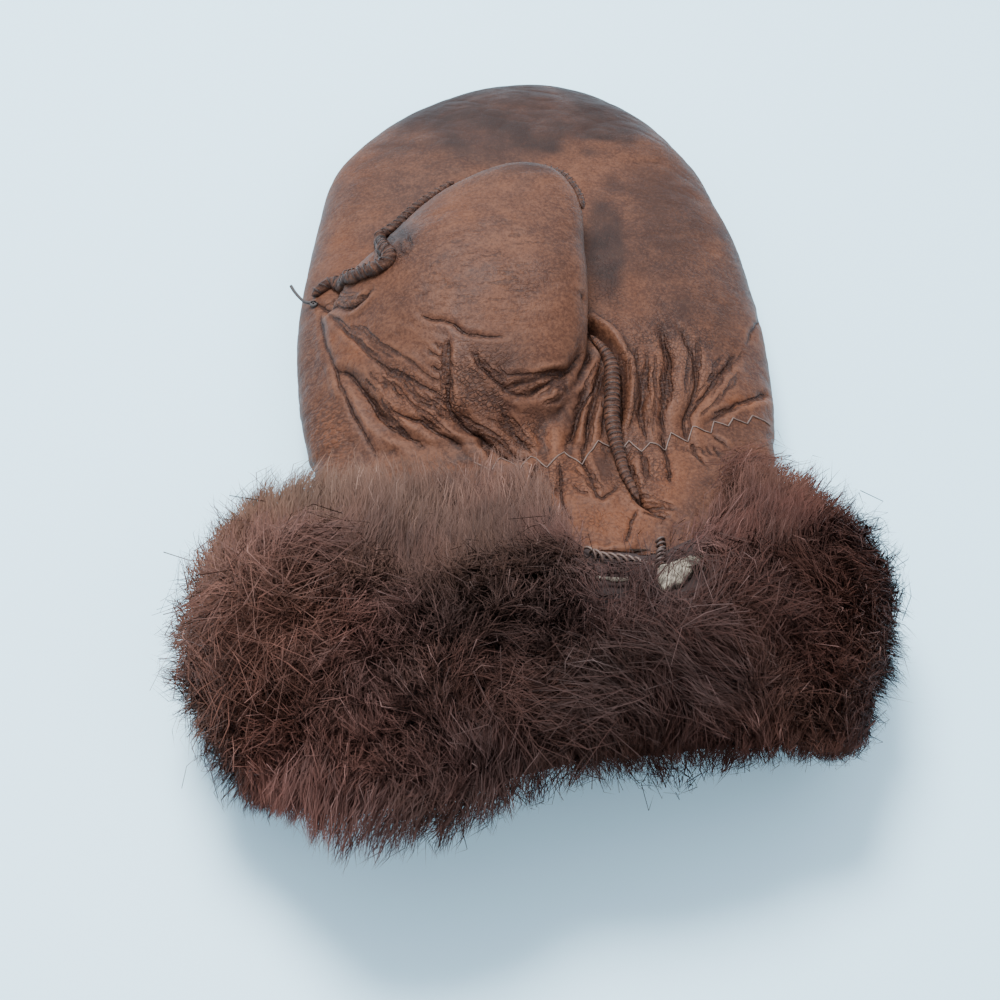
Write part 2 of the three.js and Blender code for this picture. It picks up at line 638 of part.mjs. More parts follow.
// The mouth that the hand goes in through.
function mouthHollow() {
  const ring = (y) =>
    ringOf(28, (angle) => wristPoint(y, angle).addScaledVector(wristOutward(angle), -MOUTH_LINING));
  return loft([ring(-GAUNTLET_LENGTH + LEATHER_WALL), ring(mouthY), ring(mouthY - 3 * PILE)]);
}

function furCuff(neighbours) {
  const places = Array.from({ length: FUR_RINGS }, (_, i) => i / (FUR_RINGS - 1));
  const body = loft(places.map((along) => ringOf(FUR_AROUND, (angle) => furPoint(along, angle))));
  const locks = LOCK_ROWS.flatMap((row, r) => {
    const angles = Array.from(
      { length: LOCKS_AROUND },
      (_, k) => ((k + 0.5 * (r % 2)) / LOCKS_AROUND) * 2 * Math.PI,
    );
    const grown = angles.filter((angle) => row.along > 0.5 || partingAt(angle) < 0.3);
    return grown.map((angle, k) => lock(row, angle, 10 * r + k));
  });
  const ground = solidOf(new THREE.BoxGeometry(FAR, FAR, FAR).translate(0, 0, -FAR / 2));
  const cuff = locks.reduce((sum, piece) => sum.add(piece), body);
  const hand = spread(handSolid({ grow: SEAT_GAP }), SEAT_GAP);
  const hollow = mouthHollow();
  return largest(
    [ground, hand, hollow, ...neighbours].reduce((sum, piece) => sum.subtract(piece), cuff),
  );
}

// Bare skin of the fur strip, which shows as a thin edge left of the wrist seam and as a wider
// flap right of it. along and the two edges are shares of SKIN_LENGTH and SKIN_WIDTH.
const SKIN_OUTLINE = [
  { along: -0.5, near: -0.05, far: 0.05 },
  { along: -0.2, near: -0.1, far: 0.1 },
  { along: 0, near: -0.2, far: 0.15 },
  { along: 0.14, near: -0.45, far: 0.4 },
  { along: 0.34, near: -0.5, far: 0.5 },
  { along: 0.5, near: -0.1, far: 0.3 },
];
function skinEdge(grow = 0) {
  const start = wristSeamLine.at(-1);
  const places = SKIN_OUTLINE.map((row) => {
    const x = start.x + row.along * SKIN_LENGTH;
    return { ...row, x, y: skewAt(x, -GAUNTLET_LENGTH) - GAUNTLET_LENGTH };
  });
  const rings = places.map(({ x, y, near, far }) => {
    const height = palmHeight(x, -GAUNTLET_LENGTH + skewAt(x, -GAUNTLET_LENGTH));
    const [low, high] = [height - grow, height + SKIN_THICKNESS + grow];
    const [back, front] = [y + far * SKIN_WIDTH + grow, y + near * SKIN_WIDTH - grow];
    return [
      new THREE.Vector3(x, front, low - 0.4 * SKIN_THICKNESS),
      new THREE.Vector3(x, back, low),
      new THREE.Vector3(x, back, high),
      new THREE.Vector3(x, front, high - 0.4 * SKIN_THICKNESS),
    ];
  });
  return grow > 0 ? spreadAcross(loft(rings), grow) : loft(rings);
}

function spreadAcross(solid, distance) {
  return solid.add(solid.translate([distance, 0, 0])).add(solid.translate([-distance, 0, 0]));
}

const finishes = {
  leather: new THREE.MeshStandardMaterial({ color: 0x8a6150, roughness: 0.55, metalness: 0 }),
  ridge: new THREE.MeshStandardMaterial({ color: 0x5d4840, roughness: 0.6, metalness: 0 }),
  fur: new THREE.MeshStandardMaterial({ color: 0x4a332c, roughness: 0.95, metalness: 0 }),
  skin: new THREE.MeshStandardMaterial({ color: 0xb9ada0, roughness: 0.85, metalness: 0 }),
};

function piece(name, solid, finish) {
  const mesh = new THREE.Mesh(geometryOf(solid), finish);
  mesh.name = name;
  return mesh;
}

const panels = leatherPanels();
const wristRidge = seatedRidge(wristRidgePath, WRIST_RIDGE);
const skin = largest(
  skinEdge()
    .subtract(spread(handSolid({ grow: SEAT_GAP }), SEAT_GAP))
    .subtract(ridge(wristRidgePath, WRIST_RIDGE, SEAT_GAP)),
);
const cuff = furCuff([ridge(wristRidgePath, WRIST_RIDGE, SEAT_GAP), skinEdge(SEAT_GAP)]);

const mitten = new THREE.Group();
mitten.add(
  piece("back_panel", panels.back, finishes.leather),
  piece("palm_panel", panels.palm, finishes.leather),
  piece("thumb_panel", panels.thumb, finishes.leather),
  piece("palm_seam", seatedRidge(palmRidgePath, PALM_RIDGE), finishes.ridge),
  piece("wrist_seam", wristRidge, finishes.ridge),
  piece("thumb_tip_seam", seatedRidge(tipRidgePath, TIP_RIDGE), finishes.ridge),
  piece("fur_cuff", cuff, finishes.fur),
  piece("skin_edge", skin, finishes.skin),
);

// The reference point is the middle of the mitten's bounds, on the ground.
const bounds = new THREE.Box3().setFromObject(mitten);
const middle = bounds.getCenter(new THREE.Vector3());
mitten.position.set(-middle.x, -middle.y, -bounds.min.z);

export default mitten;
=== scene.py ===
"""Dresses a fur-cuffed leather mitten: creased leather panels, overcast seams and a deep fur cuff.

Shapes are worked out in millimetres in the maker's frame, where +Z is up, +Y runs from the cuff to
the fingertips and the elastic line round the wrist is y = 0. They are moved onto the part's
reference point and turned into metres when a piece is made.
"""

import functools
import math

import bpy
import numpy as np
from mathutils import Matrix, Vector, bvhtree, kdtree


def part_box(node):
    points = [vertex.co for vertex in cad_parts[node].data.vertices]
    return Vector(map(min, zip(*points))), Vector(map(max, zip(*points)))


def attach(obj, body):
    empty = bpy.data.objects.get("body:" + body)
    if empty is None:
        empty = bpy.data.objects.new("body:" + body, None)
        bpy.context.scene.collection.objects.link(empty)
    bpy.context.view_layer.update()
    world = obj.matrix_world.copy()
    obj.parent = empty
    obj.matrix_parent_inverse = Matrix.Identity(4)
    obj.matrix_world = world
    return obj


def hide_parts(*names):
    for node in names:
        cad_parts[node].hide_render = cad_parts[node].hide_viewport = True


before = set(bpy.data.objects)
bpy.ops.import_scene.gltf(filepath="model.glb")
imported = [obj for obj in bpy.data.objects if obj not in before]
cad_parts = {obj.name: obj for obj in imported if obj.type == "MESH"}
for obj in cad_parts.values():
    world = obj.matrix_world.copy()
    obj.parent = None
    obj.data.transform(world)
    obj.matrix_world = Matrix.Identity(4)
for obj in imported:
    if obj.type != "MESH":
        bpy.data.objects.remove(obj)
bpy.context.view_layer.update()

bl_info = {
    "name": "Fur-cuffed mitten",
    "version": (1, 0, 0),
    "blender": (4, 5, 0),
    "location": "View3D > Sidebar > Mitten",
    "description": "Leather panels, overcast seams and fur cuff for a mitten",
    "category": "Object",
}

MM = 0.001

# Hand and thumb, as in the part's own source
HAND_LENGTH = 159.0
HAND_WIDTH = 114.0
HAND_THICKNESS = 28.0
GAUNTLET_LENGTH = 33.0
LEATHER_WALL = 2.2
FLANK_POWER = 0.94
CUFF_SKEW = math.radians(7)
SKEW_FADE = 60.0
THUMB_LENGTH = 89.0
THUMB_WIDTH = 60.0
THUMB_RISE = 14.0
THUMB_X = -18.0
THUMB_SOFT_FLANK = 1.7
THUMB_ROLLED_FLANK = 0.85

# along, half, centre, low, edge, top
HAND_SECTIONS = np.array(
    [
        (-1, 0.93, 0.03, 0.28, 0.67, 1.04),
        (-0.5, 0.915, 0.03, 0.21, 0.62, 1.02),
        (0, 0.905, 0.03, 0.12, 0.53, 0.94),
        (0.08, 0.938, 0.02, 0.02, 0.48, 0.97),
        (0.185, 0.985, -0.005, -0.07, 0.445, 0.99),
        (0.35, 1.005, -0.028, -0.09, 0.43, 1),
        (0.53, 0.972, -0.039, -0.09, 0.43, 0.985),
        (0.69, 0.9, -0.07, -0.09, 0.43, 0.95),
        (0.778, 0.81, -0.07, -0.08, 0.425, 0.91),
        (0.867, 0.655, -0.055, -0.065, 0.41, 0.84),
        (0.926, 0.5, -0.04, -0.03, 0.4, 0.75),
        (0.969, 0.33, -0.01, 0.04, 0.39, 0.64),
        (0.993, 0.16, 0.02, 0.17, 0.38, 0.5),
        (1, 0.06, 0.035, 0.29, 0.375, 0.44),
    ]
)
# along, left, right, rim_left, rim_right, top, low
THUMB_SECTIONS = np.array(
    [
        (0.03, -0.5, 0.55, -0.8, -0.8, -0.55, -1.1),
        (0.12, -0.63, 0.74, -0.62, -0.3, 0.2, -1.1),
        (0.28, -0.86, 0.94, -0.55, 0.0, 0.66, -1),
        (0.47, -1.0, 0.985, -0.4, 0.4, 0.93, -0.57),
        (0.63, -0.95, 0.985, -0.15, 0.5, 1, -0.04),
        (0.74, -0.72, 0.98, 0.0, 0.54, 1, 0.1),
        (0.83, -0.53, 0.96, 0.08, 0.54, 0.97, 0.18),
        (0.9, -0.35, 0.9, 0.14, 0.54, 0.93, 0.24),
        (0.955, -0.08, 0.8, 0.26, 0.56, 0.86, 0.31),
        (0.995, 0.24, 0.62, 0.42, 0.57, 0.72, 0.42),
    ]
)
# Seam lines seen from above. across is a share of half the hand's width for the left seam, and of
# half the thumb's width from THUMB_X for the others. along is a share of THUMB_LENGTH.
LEFT_SEAM = np.array(
    [(-0.53, -0.6), (-0.58, -0.12), (-0.66, 0.06), (-0.83, 0.32), (-0.905, 0.53), (-1.01, 0.7)]
)
PALM_SEAM = np.array(
    [
        (-1.25, 0.7),
        (-1.1, 0.69),
        (-0.86, 0.685),
        (-0.7, 0.7),
        (-0.66, 0.75),
        (-0.55, 0.82),
        (-0.36, 0.89),
        (-0.18, 0.945),
    ]
)
WRIST_SEAM = np.array(
    [(1.03, 0.38), (1.14, 0.28), (1.17, 0.17), (1.15, 0.05), (1.29, -0.13), (1.38, -0.31)]
)

# The camera of the picture, in the maker's frame
CAMERA_ELEVATION = math.radians(48)
CAMERA_DISTANCE = 360.0
CAMERA_FOV = math.radians(36)
CAMERA_TARGET = np.array([-8.73, 9.27, 0.0])
CAMERA_SINE, CAMERA_COSINE = math.sin(CAMERA_ELEVATION), math.cos(CAMERA_ELEVATION)
CAMERA_EYE = CAMERA_TARGET + CAMERA_DISTANCE * np.array([0, -CAMERA_COSINE, CAMERA_SINE])
PICTURE = 1000  # side of the picture in pixels
CAMERA_LENS = PICTURE / 2 / math.tan(CAMERA_FOV / 2)

# Steps of the grids that the leather and its lining are taken from, and the grids' box, in mm
VOXEL = 0.9
LINING_VOXEL = 2.0
GRID_LOW, GRID_HIGH = np.array([-62.0, -43.0, -1.7]), (62, 162, 45)


def smoothstep(value, low, high):
    """0 up to low and 1 from high on, with a smooth rise between them."""
    share = np.clip((value - low) / (high - low), 0, 1)
    return share * share * (3 - 2 * share)


def lerp(a, b, share):
    """The value a share of the way from a to b."""
    return a + (b - a) * share


def catmull_rom(table, t):
    """Smooth values of every column of a table between its rows."""
    t = np.asarray(t, float)
    i = np.clip(np.floor(t).astype(int), 0, len(table) - 2)
    u = (t - i)[..., None]
    a, b, c, d = (table[np.clip(i + k, 0, len(table) - 1)] for k in (-1, 0, 1, 2))
    bend = 2 * a - 5 * b + 4 * c - d
    twist = 3 * b - a - 3 * c + d
    return b + 0.5 * u * (c - a + u * (bend + u * twist))


def smooth_path(points, step):
    """A path through points with even steps."""
    points = np.asarray(points, float)
    fine = catmull_rom(points, np.linspace(0, len(points) - 1, 24 * len(points)))
    gaps = np.linalg.norm(np.diff(fine, axis=0), axis=1)
    run = np.concatenate([[0], np.cumsum(gaps)])
    count = max(int(round(run[-1] / step)), 2)
    at = np.linspace(0, run[-1], count + 1)
    return np.stack([np.interp(at, run, fine[:, k]) for k in range(fine.shape[1])], axis=1)


def lattice(cells, seed):
    """A repeatable number from -1 to 1 for each cell of a lattice."""
    wave = np.sin(cells @ np.array([127.1, 311.7, 74.7]) + seed * 19.19) * 43758.5453
    return 2 * (wave - np.floor(wave)) - 1


def noise(points, size, seed=0):
    """Smooth noise from -1 to 1 at points, with bumps of about a size."""
    place = np.asarray(points, float) / size
    cell = np.floor(place)
    share = place - cell
    share = share * share * (3 - 2 * share)
    total = 0
    for corner in np.ndindex(2, 2, 2):
        weight = np.prod(np.where(corner, share, 1 - share), axis=-1)
        total = total + weight * lattice(cell + corner, seed)
    return total


def vector_noise(points, size, seed, axes=3):
    """Noise of its own for each axis."""
    return np.stack([noise(points, size, seed + k) for k in range(axes)], axis=1)


def ridged(points, size, seed=0):
    """Noise with narrow lines at 1 and wide plains towards 0."""
    return 1 - np.abs(noise(points, size, seed))


def unit(vectors):
    """Vectors brought to length 1."""
    return vectors / np.linalg.norm(vectors, axis=-1, keepdims=True)


HAND_DENSE = catmull_rom(HAND_SECTIONS, np.linspace(0, len(HAND_SECTIONS) - 1, 600))
HAND_PLACES = HAND_DENSE[:, 0] * np.where(HAND_DENSE[:, 0] < 0, GAUNTLET_LENGTH, HAND_LENGTH)
THUMB_DENSE = catmull_rom(THUMB_SECTIONS, np.linspace(0, len(THUMB_SECTIONS) - 1, 400))
THUMB_PLACES = THUMB_DENSE[:, 0] * THUMB_LENGTH


def skew_at(x, y):
    """How far the slanted wrist moves a point along y."""
    return x * math.tan(CUFF_SKEW) * (1 - smoothstep(y, -GAUNTLET_LENGTH, SKEW_FADE))


def unskewed(x, y):
    """The y that a point would have with a straight wrist."""
    flat = y
    for _ in range(4):
        flat = y - skew_at(x, flat)
    return flat


def hand_field(x, y, z):
    """Below 0 inside the hand, above 0 outside it."""
    flat = unskewed(x, y)
    half, centre, low, edge, top = (
        np.interp(flat, HAND_PLACES, HAND_DENSE[:, k]).astype(np.float32) for k in range(1, 6)
    )
    power = 2 / FLANK_POWER
    across = np.abs((x * 2 / HAND_WIDTH - centre) / half) ** power
    rise = z / HAND_THICKNESS - edge
    height = np.where(rise > 0, rise / (top - edge), rise / (low - edge))
    return (across + height**power) ** (1 / power) - 1


def thumb_field(x, y, z):
    """Below 0 inside the thumb, above 0 outside it."""
    left, right, rim_left, rim_right, top, low = (
        np.interp(y, THUMB_PLACES, THUMB_DENSE[:, k]).astype(np.float32) for k in range(1, 7)
    )
    to_right = ((x - THUMB_X) * 2 / THUMB_WIDTH - left) / (right - left)
    held = np.clip(to_right, 0, 1)
    middle = (rim_left + rim_right) / 2
    rise = (z - HAND_THICKNESS) / THUMB_RISE - lerp(rim_left, rim_right, held)
    power = lerp(THUMB_SOFT_FLANK, THUMB_ROLLED_FLANK, held)
    height = np.where(rise > 0, rise / (top - middle), rise / (low - middle))
    return np.sqrt((2 * to_right - 1) ** 2 + height ** (2 / power)) - 1


def distance_from(field, step):
    """About the distance from where a field is 0, in mm."""
    slopes = np.gradient(field, step)
    steepness = np.sqrt(sum(slope * slope for slope in slopes))
    return field / np.maximum(steepness, 0.004)


def blend_radius(x, y):
    """The thumb grows softly out of the ball at the lower left, and lies free elsewhere."""
    soft = (1 - smoothstep(x, -14, 4)) * (1 - smoothstep(y, 46, 60))
    return lerp(0.5, 7.0, soft)


def form_field(step):
    """Distance from the leather's outer face on a grid, and the grid's lowest corner."""
    x, y, z = np.meshgrid(
        *(np.arange(low, high, step, dtype=np.float32) for low, high in zip(GRID_LOW, GRID_HIGH)),
        indexing="ij",
        sparse=True,
    )
    hand = distance_from(hand_field(x, y, z), step)
    hand = np.maximum(hand, y - HAND_LENGTH)
    thumb = distance_from(thumb_field(x, y, z), step)
    ends = np.maximum(THUMB_PLACES[0] - y, y - THUMB_PLACES[-1])
    thumb = np.maximum(thumb, ends)
    soft = blend_radius(x, y)
    near = np.maximum(soft - np.abs(hand - thumb), 0) / soft
    joined = np.minimum(hand, thumb) - near * near * soft / 4
    return np.maximum(joined, -z), GRID_LOW


CUBE = [(a, b, c) for a in (0, 1) for b in (0, 1) for c in (0, 1)]


def surface_nets(field, corner, step):
    """The zero surface of a field as points and quads that face outwards."""
    inside = field < 0
    shape = inside.shape
    filled = sum(
        inside[a : shape[0] - 1 + a, b : shape[1] - 1 + b, c : shape[2] - 1 + c].astype(np.uint8)
        for a, b, c in CUBE
    )
    active = (filled > 0) & (filled < 8)
    cells = np.argwhere(active)
    index = np.full(active.shape, -1, np.int32)
    index[active] = np.arange(len(cells))
    values = [field[cells[:, 0] + a, cells[:, 1] + b, cells[:, 2] + c] for a, b, c in CUBE]
    total, hits = np.zeros((len(cells), 3)), np.zeros(len(cells))
    for i, start in enumerate(CUBE):
        for k, end in enumerate(CUBE):
            if k <= i or sum(abs(p - q) for p, q in zip(start, end)) != 1:
                continue
            crossed = (values[i] < 0) != (values[k] < 0)
            gap = np.where(crossed, values[i] - values[k], 1)
            share = (values[i] / gap)[:, None]
            place = np.array(start) + share * (np.array(end) - np.array(start))
            total += np.where(crossed[:, None], place, 0)
            hits += crossed
    points = (cells + total / hits[:, None]) * step + corner
    quads = []
    for axis, (u, v) in enumerate([(1, 2), (2, 0), (0, 1)]):
        lower = np.moveaxis(np.moveaxis(inside, axis, 0)[:-1], 0, axis)
        upper = np.moveaxis(np.moveaxis(inside, axis, 0)[1:], 0, axis)
        at = np.argwhere(lower != upper)
        fits = (at[:, u] > 0) & (at[:, v] > 0)
        fits &= (at[:, u] < shape[u] - 1) & (at[:, v] < shape[v] - 1)
        at = at[fits]

        def cell(du, dv):
            moved = at.copy()
            moved[:, u] -= du
            moved[:, v] -= dv
            return index[moved[:, 0], moved[:, 1], moved[:, 2]]

        quad = np.stack([cell(1, 1), cell(0, 1), cell(0, 0), cell(1, 0)], axis=1)
        turned = ~lower[at[:, 0], at[:, 1], at[:, 2]]
        quad[turned] = quad[turned][:, ::-1]
        quads.append(quad)
    return points, np.concatenate(quads)


def edge_pairs(quads):
    """The two ends of every edge, once each."""
    ring = np.concatenate([quads[:, [k, (k + 1) % 4]] for k in range(4)])
    return np.unique(np.sort(ring, axis=1), axis=0)


def neighbour_mean(values, pairs, count):
    """The mean of each point's neighbours, for one or several columns."""
    ends = np.concatenate([pairs[:, 0], pairs[:, 1]])
    others = np.concatenate([pairs[:, 1], pairs[:, 0]])
    degree = np.maximum(np.bincount(ends, minlength=count), 1)
    if values.ndim == 1:
        return np.bincount(ends, values[others], minlength=count) / degree
    columns = [
        np.bincount(ends, values[others, k], minlength=count) for k in range(values.shape[1])
    ]
    return np.stack(columns, axis=1) / degree[:, None]


def used_only(quads, count):
    """Which of a number of points quads use, and the quads with those points alone."""
    used = np.unique(quads)
    renumber = np.full(count, -1)
    renumber[used] = np.arange(len(used))
    return used, renumber[quads]


def vertex_normals(points, quads):
    """Outward directions at the points."""
    faces = np.cross(
        points[quads[:, 2]] - points[quads[:, 0]], points[quads[:, 3]] - points[quads[:, 1]]
    )
    total = np.zeros_like(points)
    for k in range(4):
        for axis in range(3):
            total[:, axis] += np.bincount(quads[:, k], faces[:, axis], minlength=len(points))
    return total / np.maximum(np.linalg.norm(total, axis=1, keepdims=True), 1e-9)


@functools.cache
def leather_grid():
    """The leather's field on the finer grid."""
    return form_field(VOXEL)


@functools.cache
def top_heights():
    """Height of the smooth leather over the ground plane, on the grid."""
    field, corner = leather_grid()
    inside = field < 0
    last = inside.shape[2] - 1 - np.argmax(inside[:, :, ::-1], axis=2)
    found = inside.any(axis=2)
    last = np.where(found, last, 0)
    rows, columns = np.indices(last.shape)
    here = field[rows, columns, last]
    above = field[rows, columns, np.minimum(last + 1, inside.shape[2] - 1)]
    share = here / np.minimum(here - above, -1e-6)
    return np.where(found, corner[2] + (last + share) * VOXEL, 0.0)


def height_at(x, y):
    """Height of the smooth leather at any place."""
    heights = top_heights()
    corner = leather_grid()[1]
    i = np.clip((np.asarray(x, float) - corner[0]) / VOXEL, 0, heights.shape[0] - 1.001)
    k = np.clip((np.asarray(y, float) - corner[1]) / VOXEL, 0, heights.shape[1] - 1.001)
    i0, k0 = i.astype(int), k.astype(int)
    u, v = i - i0, k - k0
    low = lerp(heights[i0, k0], heights[i0 + 1, k0], u)
    high = lerp(heights[i0, k0 + 1], heights[i0 + 1, k0 + 1], u)
    return lerp(low, high, v)


SIGHT_ROUNDS = 30  # steps in which a line of sight closes in on the leather


def seen(pixels, height=None):
    """Points of the leather, or of the plane at a height, that show at places in the picture."""
    right, down = ((np.asarray(pixels, float) - PICTURE / 2) / CAMERA_LENS).T
    forward = CAMERA_COSINE - down * CAMERA_SINE
    ray = np.stack([right, forward, -CAMERA_SINE - down * CAMERA_COSINE], axis=1)
    z = np.full(len(pixels), HAND_THICKNESS if height is None else height)
    for _ in range(SIGHT_ROUNDS):
        share = (z - CAMERA_EYE[2]) / ray[:, 2]
        place = CAMERA_EYE + share[:, None] * ray
        if height is None:
            z = 0.5 * z + 0.5 * height_at(place[:, 0], place[:, 1])
    return place


def picture_of(points):
    """Where points show in the picture."""
    away = points - CAMERA_EYE
    deep = away[..., 1] * CAMERA_COSINE - away[..., 2] * CAMERA_SINE
    up = away[..., 1] * CAMERA_SINE + away[..., 2] * CAMERA_COSINE
    return PICTURE / 2 + CAMERA_LENS * np.stack([away[..., 0], -up], axis=-1) / deep[..., None]


# Creases in the leather. width is half the valley in mm, depth its depth in mm, and rise the height
# of the lip beside it, which lies left of the run (lip -1), right of it (1) or on both sides (0).
# A depth below 0 makes a roll. The run is given by the places in the picture that it passes.
CREASES = [
    # left side and the slack below the thumb
    (
        0.5, 0.6, 0, 0.15,
        [(321, 312), (323, 340), (328, 356), (334, 372), (349, 409), (357, 423), (378, 454)],
    ),
    (
        1.1, 1.5, 0, 0.6,
        [(337, 371), (343, 372), (353, 383), (366, 399), (380, 415), (396, 430), (423, 446)],
    ),
    (
        0.5, 0.5, 1, 0.15,
        [(327, 317), (343, 330), (359, 344), (376, 360), (394, 372), (437, 393), (447, 403)],
    ),
    (0.6, 0.8, -1, 0.25, [(390, 407), (404, 415), (423, 423), (441, 434), (460, 446)]),
    (0.6, 0.8, -1, 0.2, [(449, 343), (448, 364), (447, 381), (446, 395), (449, 410)]),
    (0.5, 0.5, 1, 0.15, [(421, 315), (433, 319), (447, 321), (466, 333), (485, 336), (505, 338)]),
    (1.2, 1.9, 1, 0.6, [(449, 410), (466, 424), (480, 438), (497, 450), (514, 456), (531, 453)]),
    (0.7, 1.0, -1, 0.3, [(502, 415), (509, 427), (519, 439), (530, 450)]),
    (0.6, 0.8, 0, 0.3, [(472, 430), (480, 438), (491, 462)]),
    # the pocket under the thumb's right corner
    (0.6, 0.7, 1, 0.2, [(474, 353), (485, 367), (497, 384), (512, 395), (524, 397), (536, 393)]),
    (0.5, 0.6, 0, 0.2, [(509, 377), (543, 374), (572, 370)]),
    (1.1, 1.9, -1, 0.4, [(588, 352), (586, 360), (573, 371), (550, 384), (526, 396)]),
    (0.5, 0.6, 0, 0.2, [(512, 388), (536, 380), (571, 373)]),
    (1.8, 2.4, 0, 0.0, [(588, 322), (592, 331), (597, 340)]),
    # rolls and valleys right of the wrist seam
    (
        1.6, -1.7, 0, 0.0,
        [(591, 317), (608, 329), (623, 346), (632, 365), (634, 382), (632, 403), (626, 428)],
    ),
    (
        0.9, 1.9, 0, 0.2,
        [(589, 325), (602, 338), (614, 355), (620, 372), (622, 388), (621, 407), (622, 436)],
    ),
    (0.8, 1.1, 1, 0.4, [(623, 340), (632, 354), (638, 372), (639, 388), (635, 408), (630, 430)]),
    (0.7, 0.8, 0, 0.3, [(645, 366), (643, 396), (643, 415), (647, 440)]),
    (1.0, 1.3, 1, 0.5, [(661, 329), (667, 350), (669, 373), (666, 396), (663, 415), (667, 434)]),
    (1.0, 1.2, -1, 0.5, [(682, 332), (692, 354), (695, 376), (692, 400), (685, 422), (687, 438)]),
    (3.0, -0.9, 0, 0.0, [(674, 335), (681, 365), (680, 395), (676, 425)]),
    (1.0, 1.3, -1, 0.4, [(736, 355), (725, 369), (713, 382), (702, 398), (691, 414)]),
    (0.8, 1.3, -1, 0.4, [(768, 394), (751, 398), (732, 404), (723, 411), (714, 418)]),
    (0.5, 0.5, 0, 0.1, [(761, 332), (747, 345)]),
    # the flap that hangs from the crotch of the thumb
    (1.1, 2.2, 0, 0.3, [(601, 359), (595, 384), (586, 401), (578, 420), (567, 442)]),
    (1.1, -1.1, 0, 0.0, [(598, 374), (590, 398), (582, 420), (578, 440)]),
    (0.7, 1.4, 0, 0.3, [(602, 374), (595, 398), (590, 415), (586, 436), (586, 449)]),
    (0.4, 0.6, 0, 0.1, [(602, 381), (603, 405), (603, 429), (600, 440)]),
    # below the elastic
    (0.6, 0.9, 0, 0.3, [(582, 446), (583, 462), (589, 476), (600, 497), (617, 486)]),
    (0.8, 0.9, 1, 0.3, [(559, 462), (562, 497), (572, 519)]),
    (0.6, 0.7, 0, 0.2, [(535, 463), (534, 484)]),
    (0.7, 0.9, 0, 0.3, [(642, 452), (645, 474)]),
    (0.8, 1.1, 1, 0.4, [(664, 436), (668, 458), (670, 480)]),
    (0.9, 1.6, 1, 0.4, [(625, 448), (629, 466), (637, 488), (647, 504), (664, 516)]),
    (0.7, 0.9, 0, 0.3, [(633, 491), (646, 503), (667, 506), (677, 508)]),
    (0.5, 0.6, 0, 0.1, [(638, 510), (630, 526), (627, 545)]),
    (0.9, 0.9, 0, 0.5, [(585, 554), (608, 560), (623, 556), (645, 549)]),
    (0.5, 0.5, 0, 0.2, [(692, 441), (705, 461)]),
    (0.5, 0.5, 0, 0.2, [(713, 434), (727, 445)]),
    (0.7, 0.9, 0, 0.3, [(317, 304), (334, 308), (350, 307), (363, 299), (373, 288)]),
]
FINE_CREASE = 0.4  # half the width of a fine crease in mm
# Bundles of fine creases, by the places in the picture where each starts and ends: the number of
# creases, how far they spread to the sides in the picture, and their depth in mm.
BUNDLES = [
    ((330, 318), (450, 398), 9, 5, 0.5),
    ((385, 372), (470, 440), 12, 8, 0.5),
    ((352, 380), (415, 440), 10, 5, 0.6),
    ((363, 372), (392, 398), 8, 10, 0.5),
    ((449, 338), (446, 410), 9, 5, 0.6),
    ((425, 350), (462, 374), 7, 9, 0.5),
    ((478, 350), (512, 394), 9, 5, 0.5),
    ((500, 392), (574, 370), 14, 7, 0.6),
    ((455, 412), (530, 455), 10, 6, 0.6),
    ((500, 415), (530, 452), 7, 5, 0.5),
    ((536, 405), (578, 385), 9, 7, 0.5),
    ((603, 358), (566, 446), 7, 5, 0.5),
    ((603, 375), (586, 448), 7, 3, 0.5),
    ((634, 345), (638, 436), 11, 4, 0.6),
    ((645, 350), (645, 442), 9, 4, 0.5),
    ((664, 330), (665, 438), 9, 5, 0.5),
    ((693, 335), (687, 438), 9, 5, 0.5),
    ((740, 350), (690, 416), 10, 8, 0.5),
    ((770, 393), (716, 416), 7, 3, 0.6),
    ((572, 468), (600, 502), 7, 9, 0.4),
    ((528, 470), (560, 512), 7, 11, 0.4),
    ((632, 494), (682, 508), 9, 6, 0.6),
    ((640, 452), (650, 492), 6, 7, 0.4),
    ((690, 440), (728, 472), 7, 7, 0.4),
    ((582, 557), (648, 550), 6, 3, 0.5),
    ((384, 222), (402, 262), 6, 9, 0.4),
    ((322, 306), (372, 296), 7, 4, 0.5),
]
# The thread zigzag that holds the elastic, by its corners in the picture.
ZIGZAG = [
    (474, 461), (491, 472),
    (502, 456), (520, 469), (531, 454), (547, 467), (564, 450), (582, 463), (598, 440), (621, 448),
    (629, 440), (642, 451), (650, 443), (666, 447), (671, 432), (688, 440), (693, 426), (711, 432),
    (714, 420), (728, 426), (733, 418), (747, 424), (752, 416), (770, 426),
]
# Crumpled areas: middle and half sizes in mm, the direction of the wrinkles in degrees from +X,
# their spacing and height in mm, and how many times longer than wide they are.
WRINKLES = [
    (0, 60, 90, 130, 20, 8.0, 0.08, 1.6),
    (-58, 16, 26, 34, 8, 2.3, 0.07, 2.6),
    (-34, 30, 26, 20, -35, 3.6, 0.09, 2.4),
    (-8, 8, 44, 16, -60, 3.2, 0.11, 2.4),
    (-16, 34, 24, 12, 8, 2.8, 0.09, 3.4),
    (-14, 54, 26, 24, 4, 4.6, 0.05, 5.0),
    (30, 8, 40, 22, 88, 3.8, 0.09, 3.0),
    (20, -14, 34, 18, 80, 3.2, 0.11, 2.2),
    (56, 40, 14, 60, 30, 4.0, 0.08, 2.6),
    (10, 120, 60, 40, -20, 11.0, 0.22, 1.5),
]
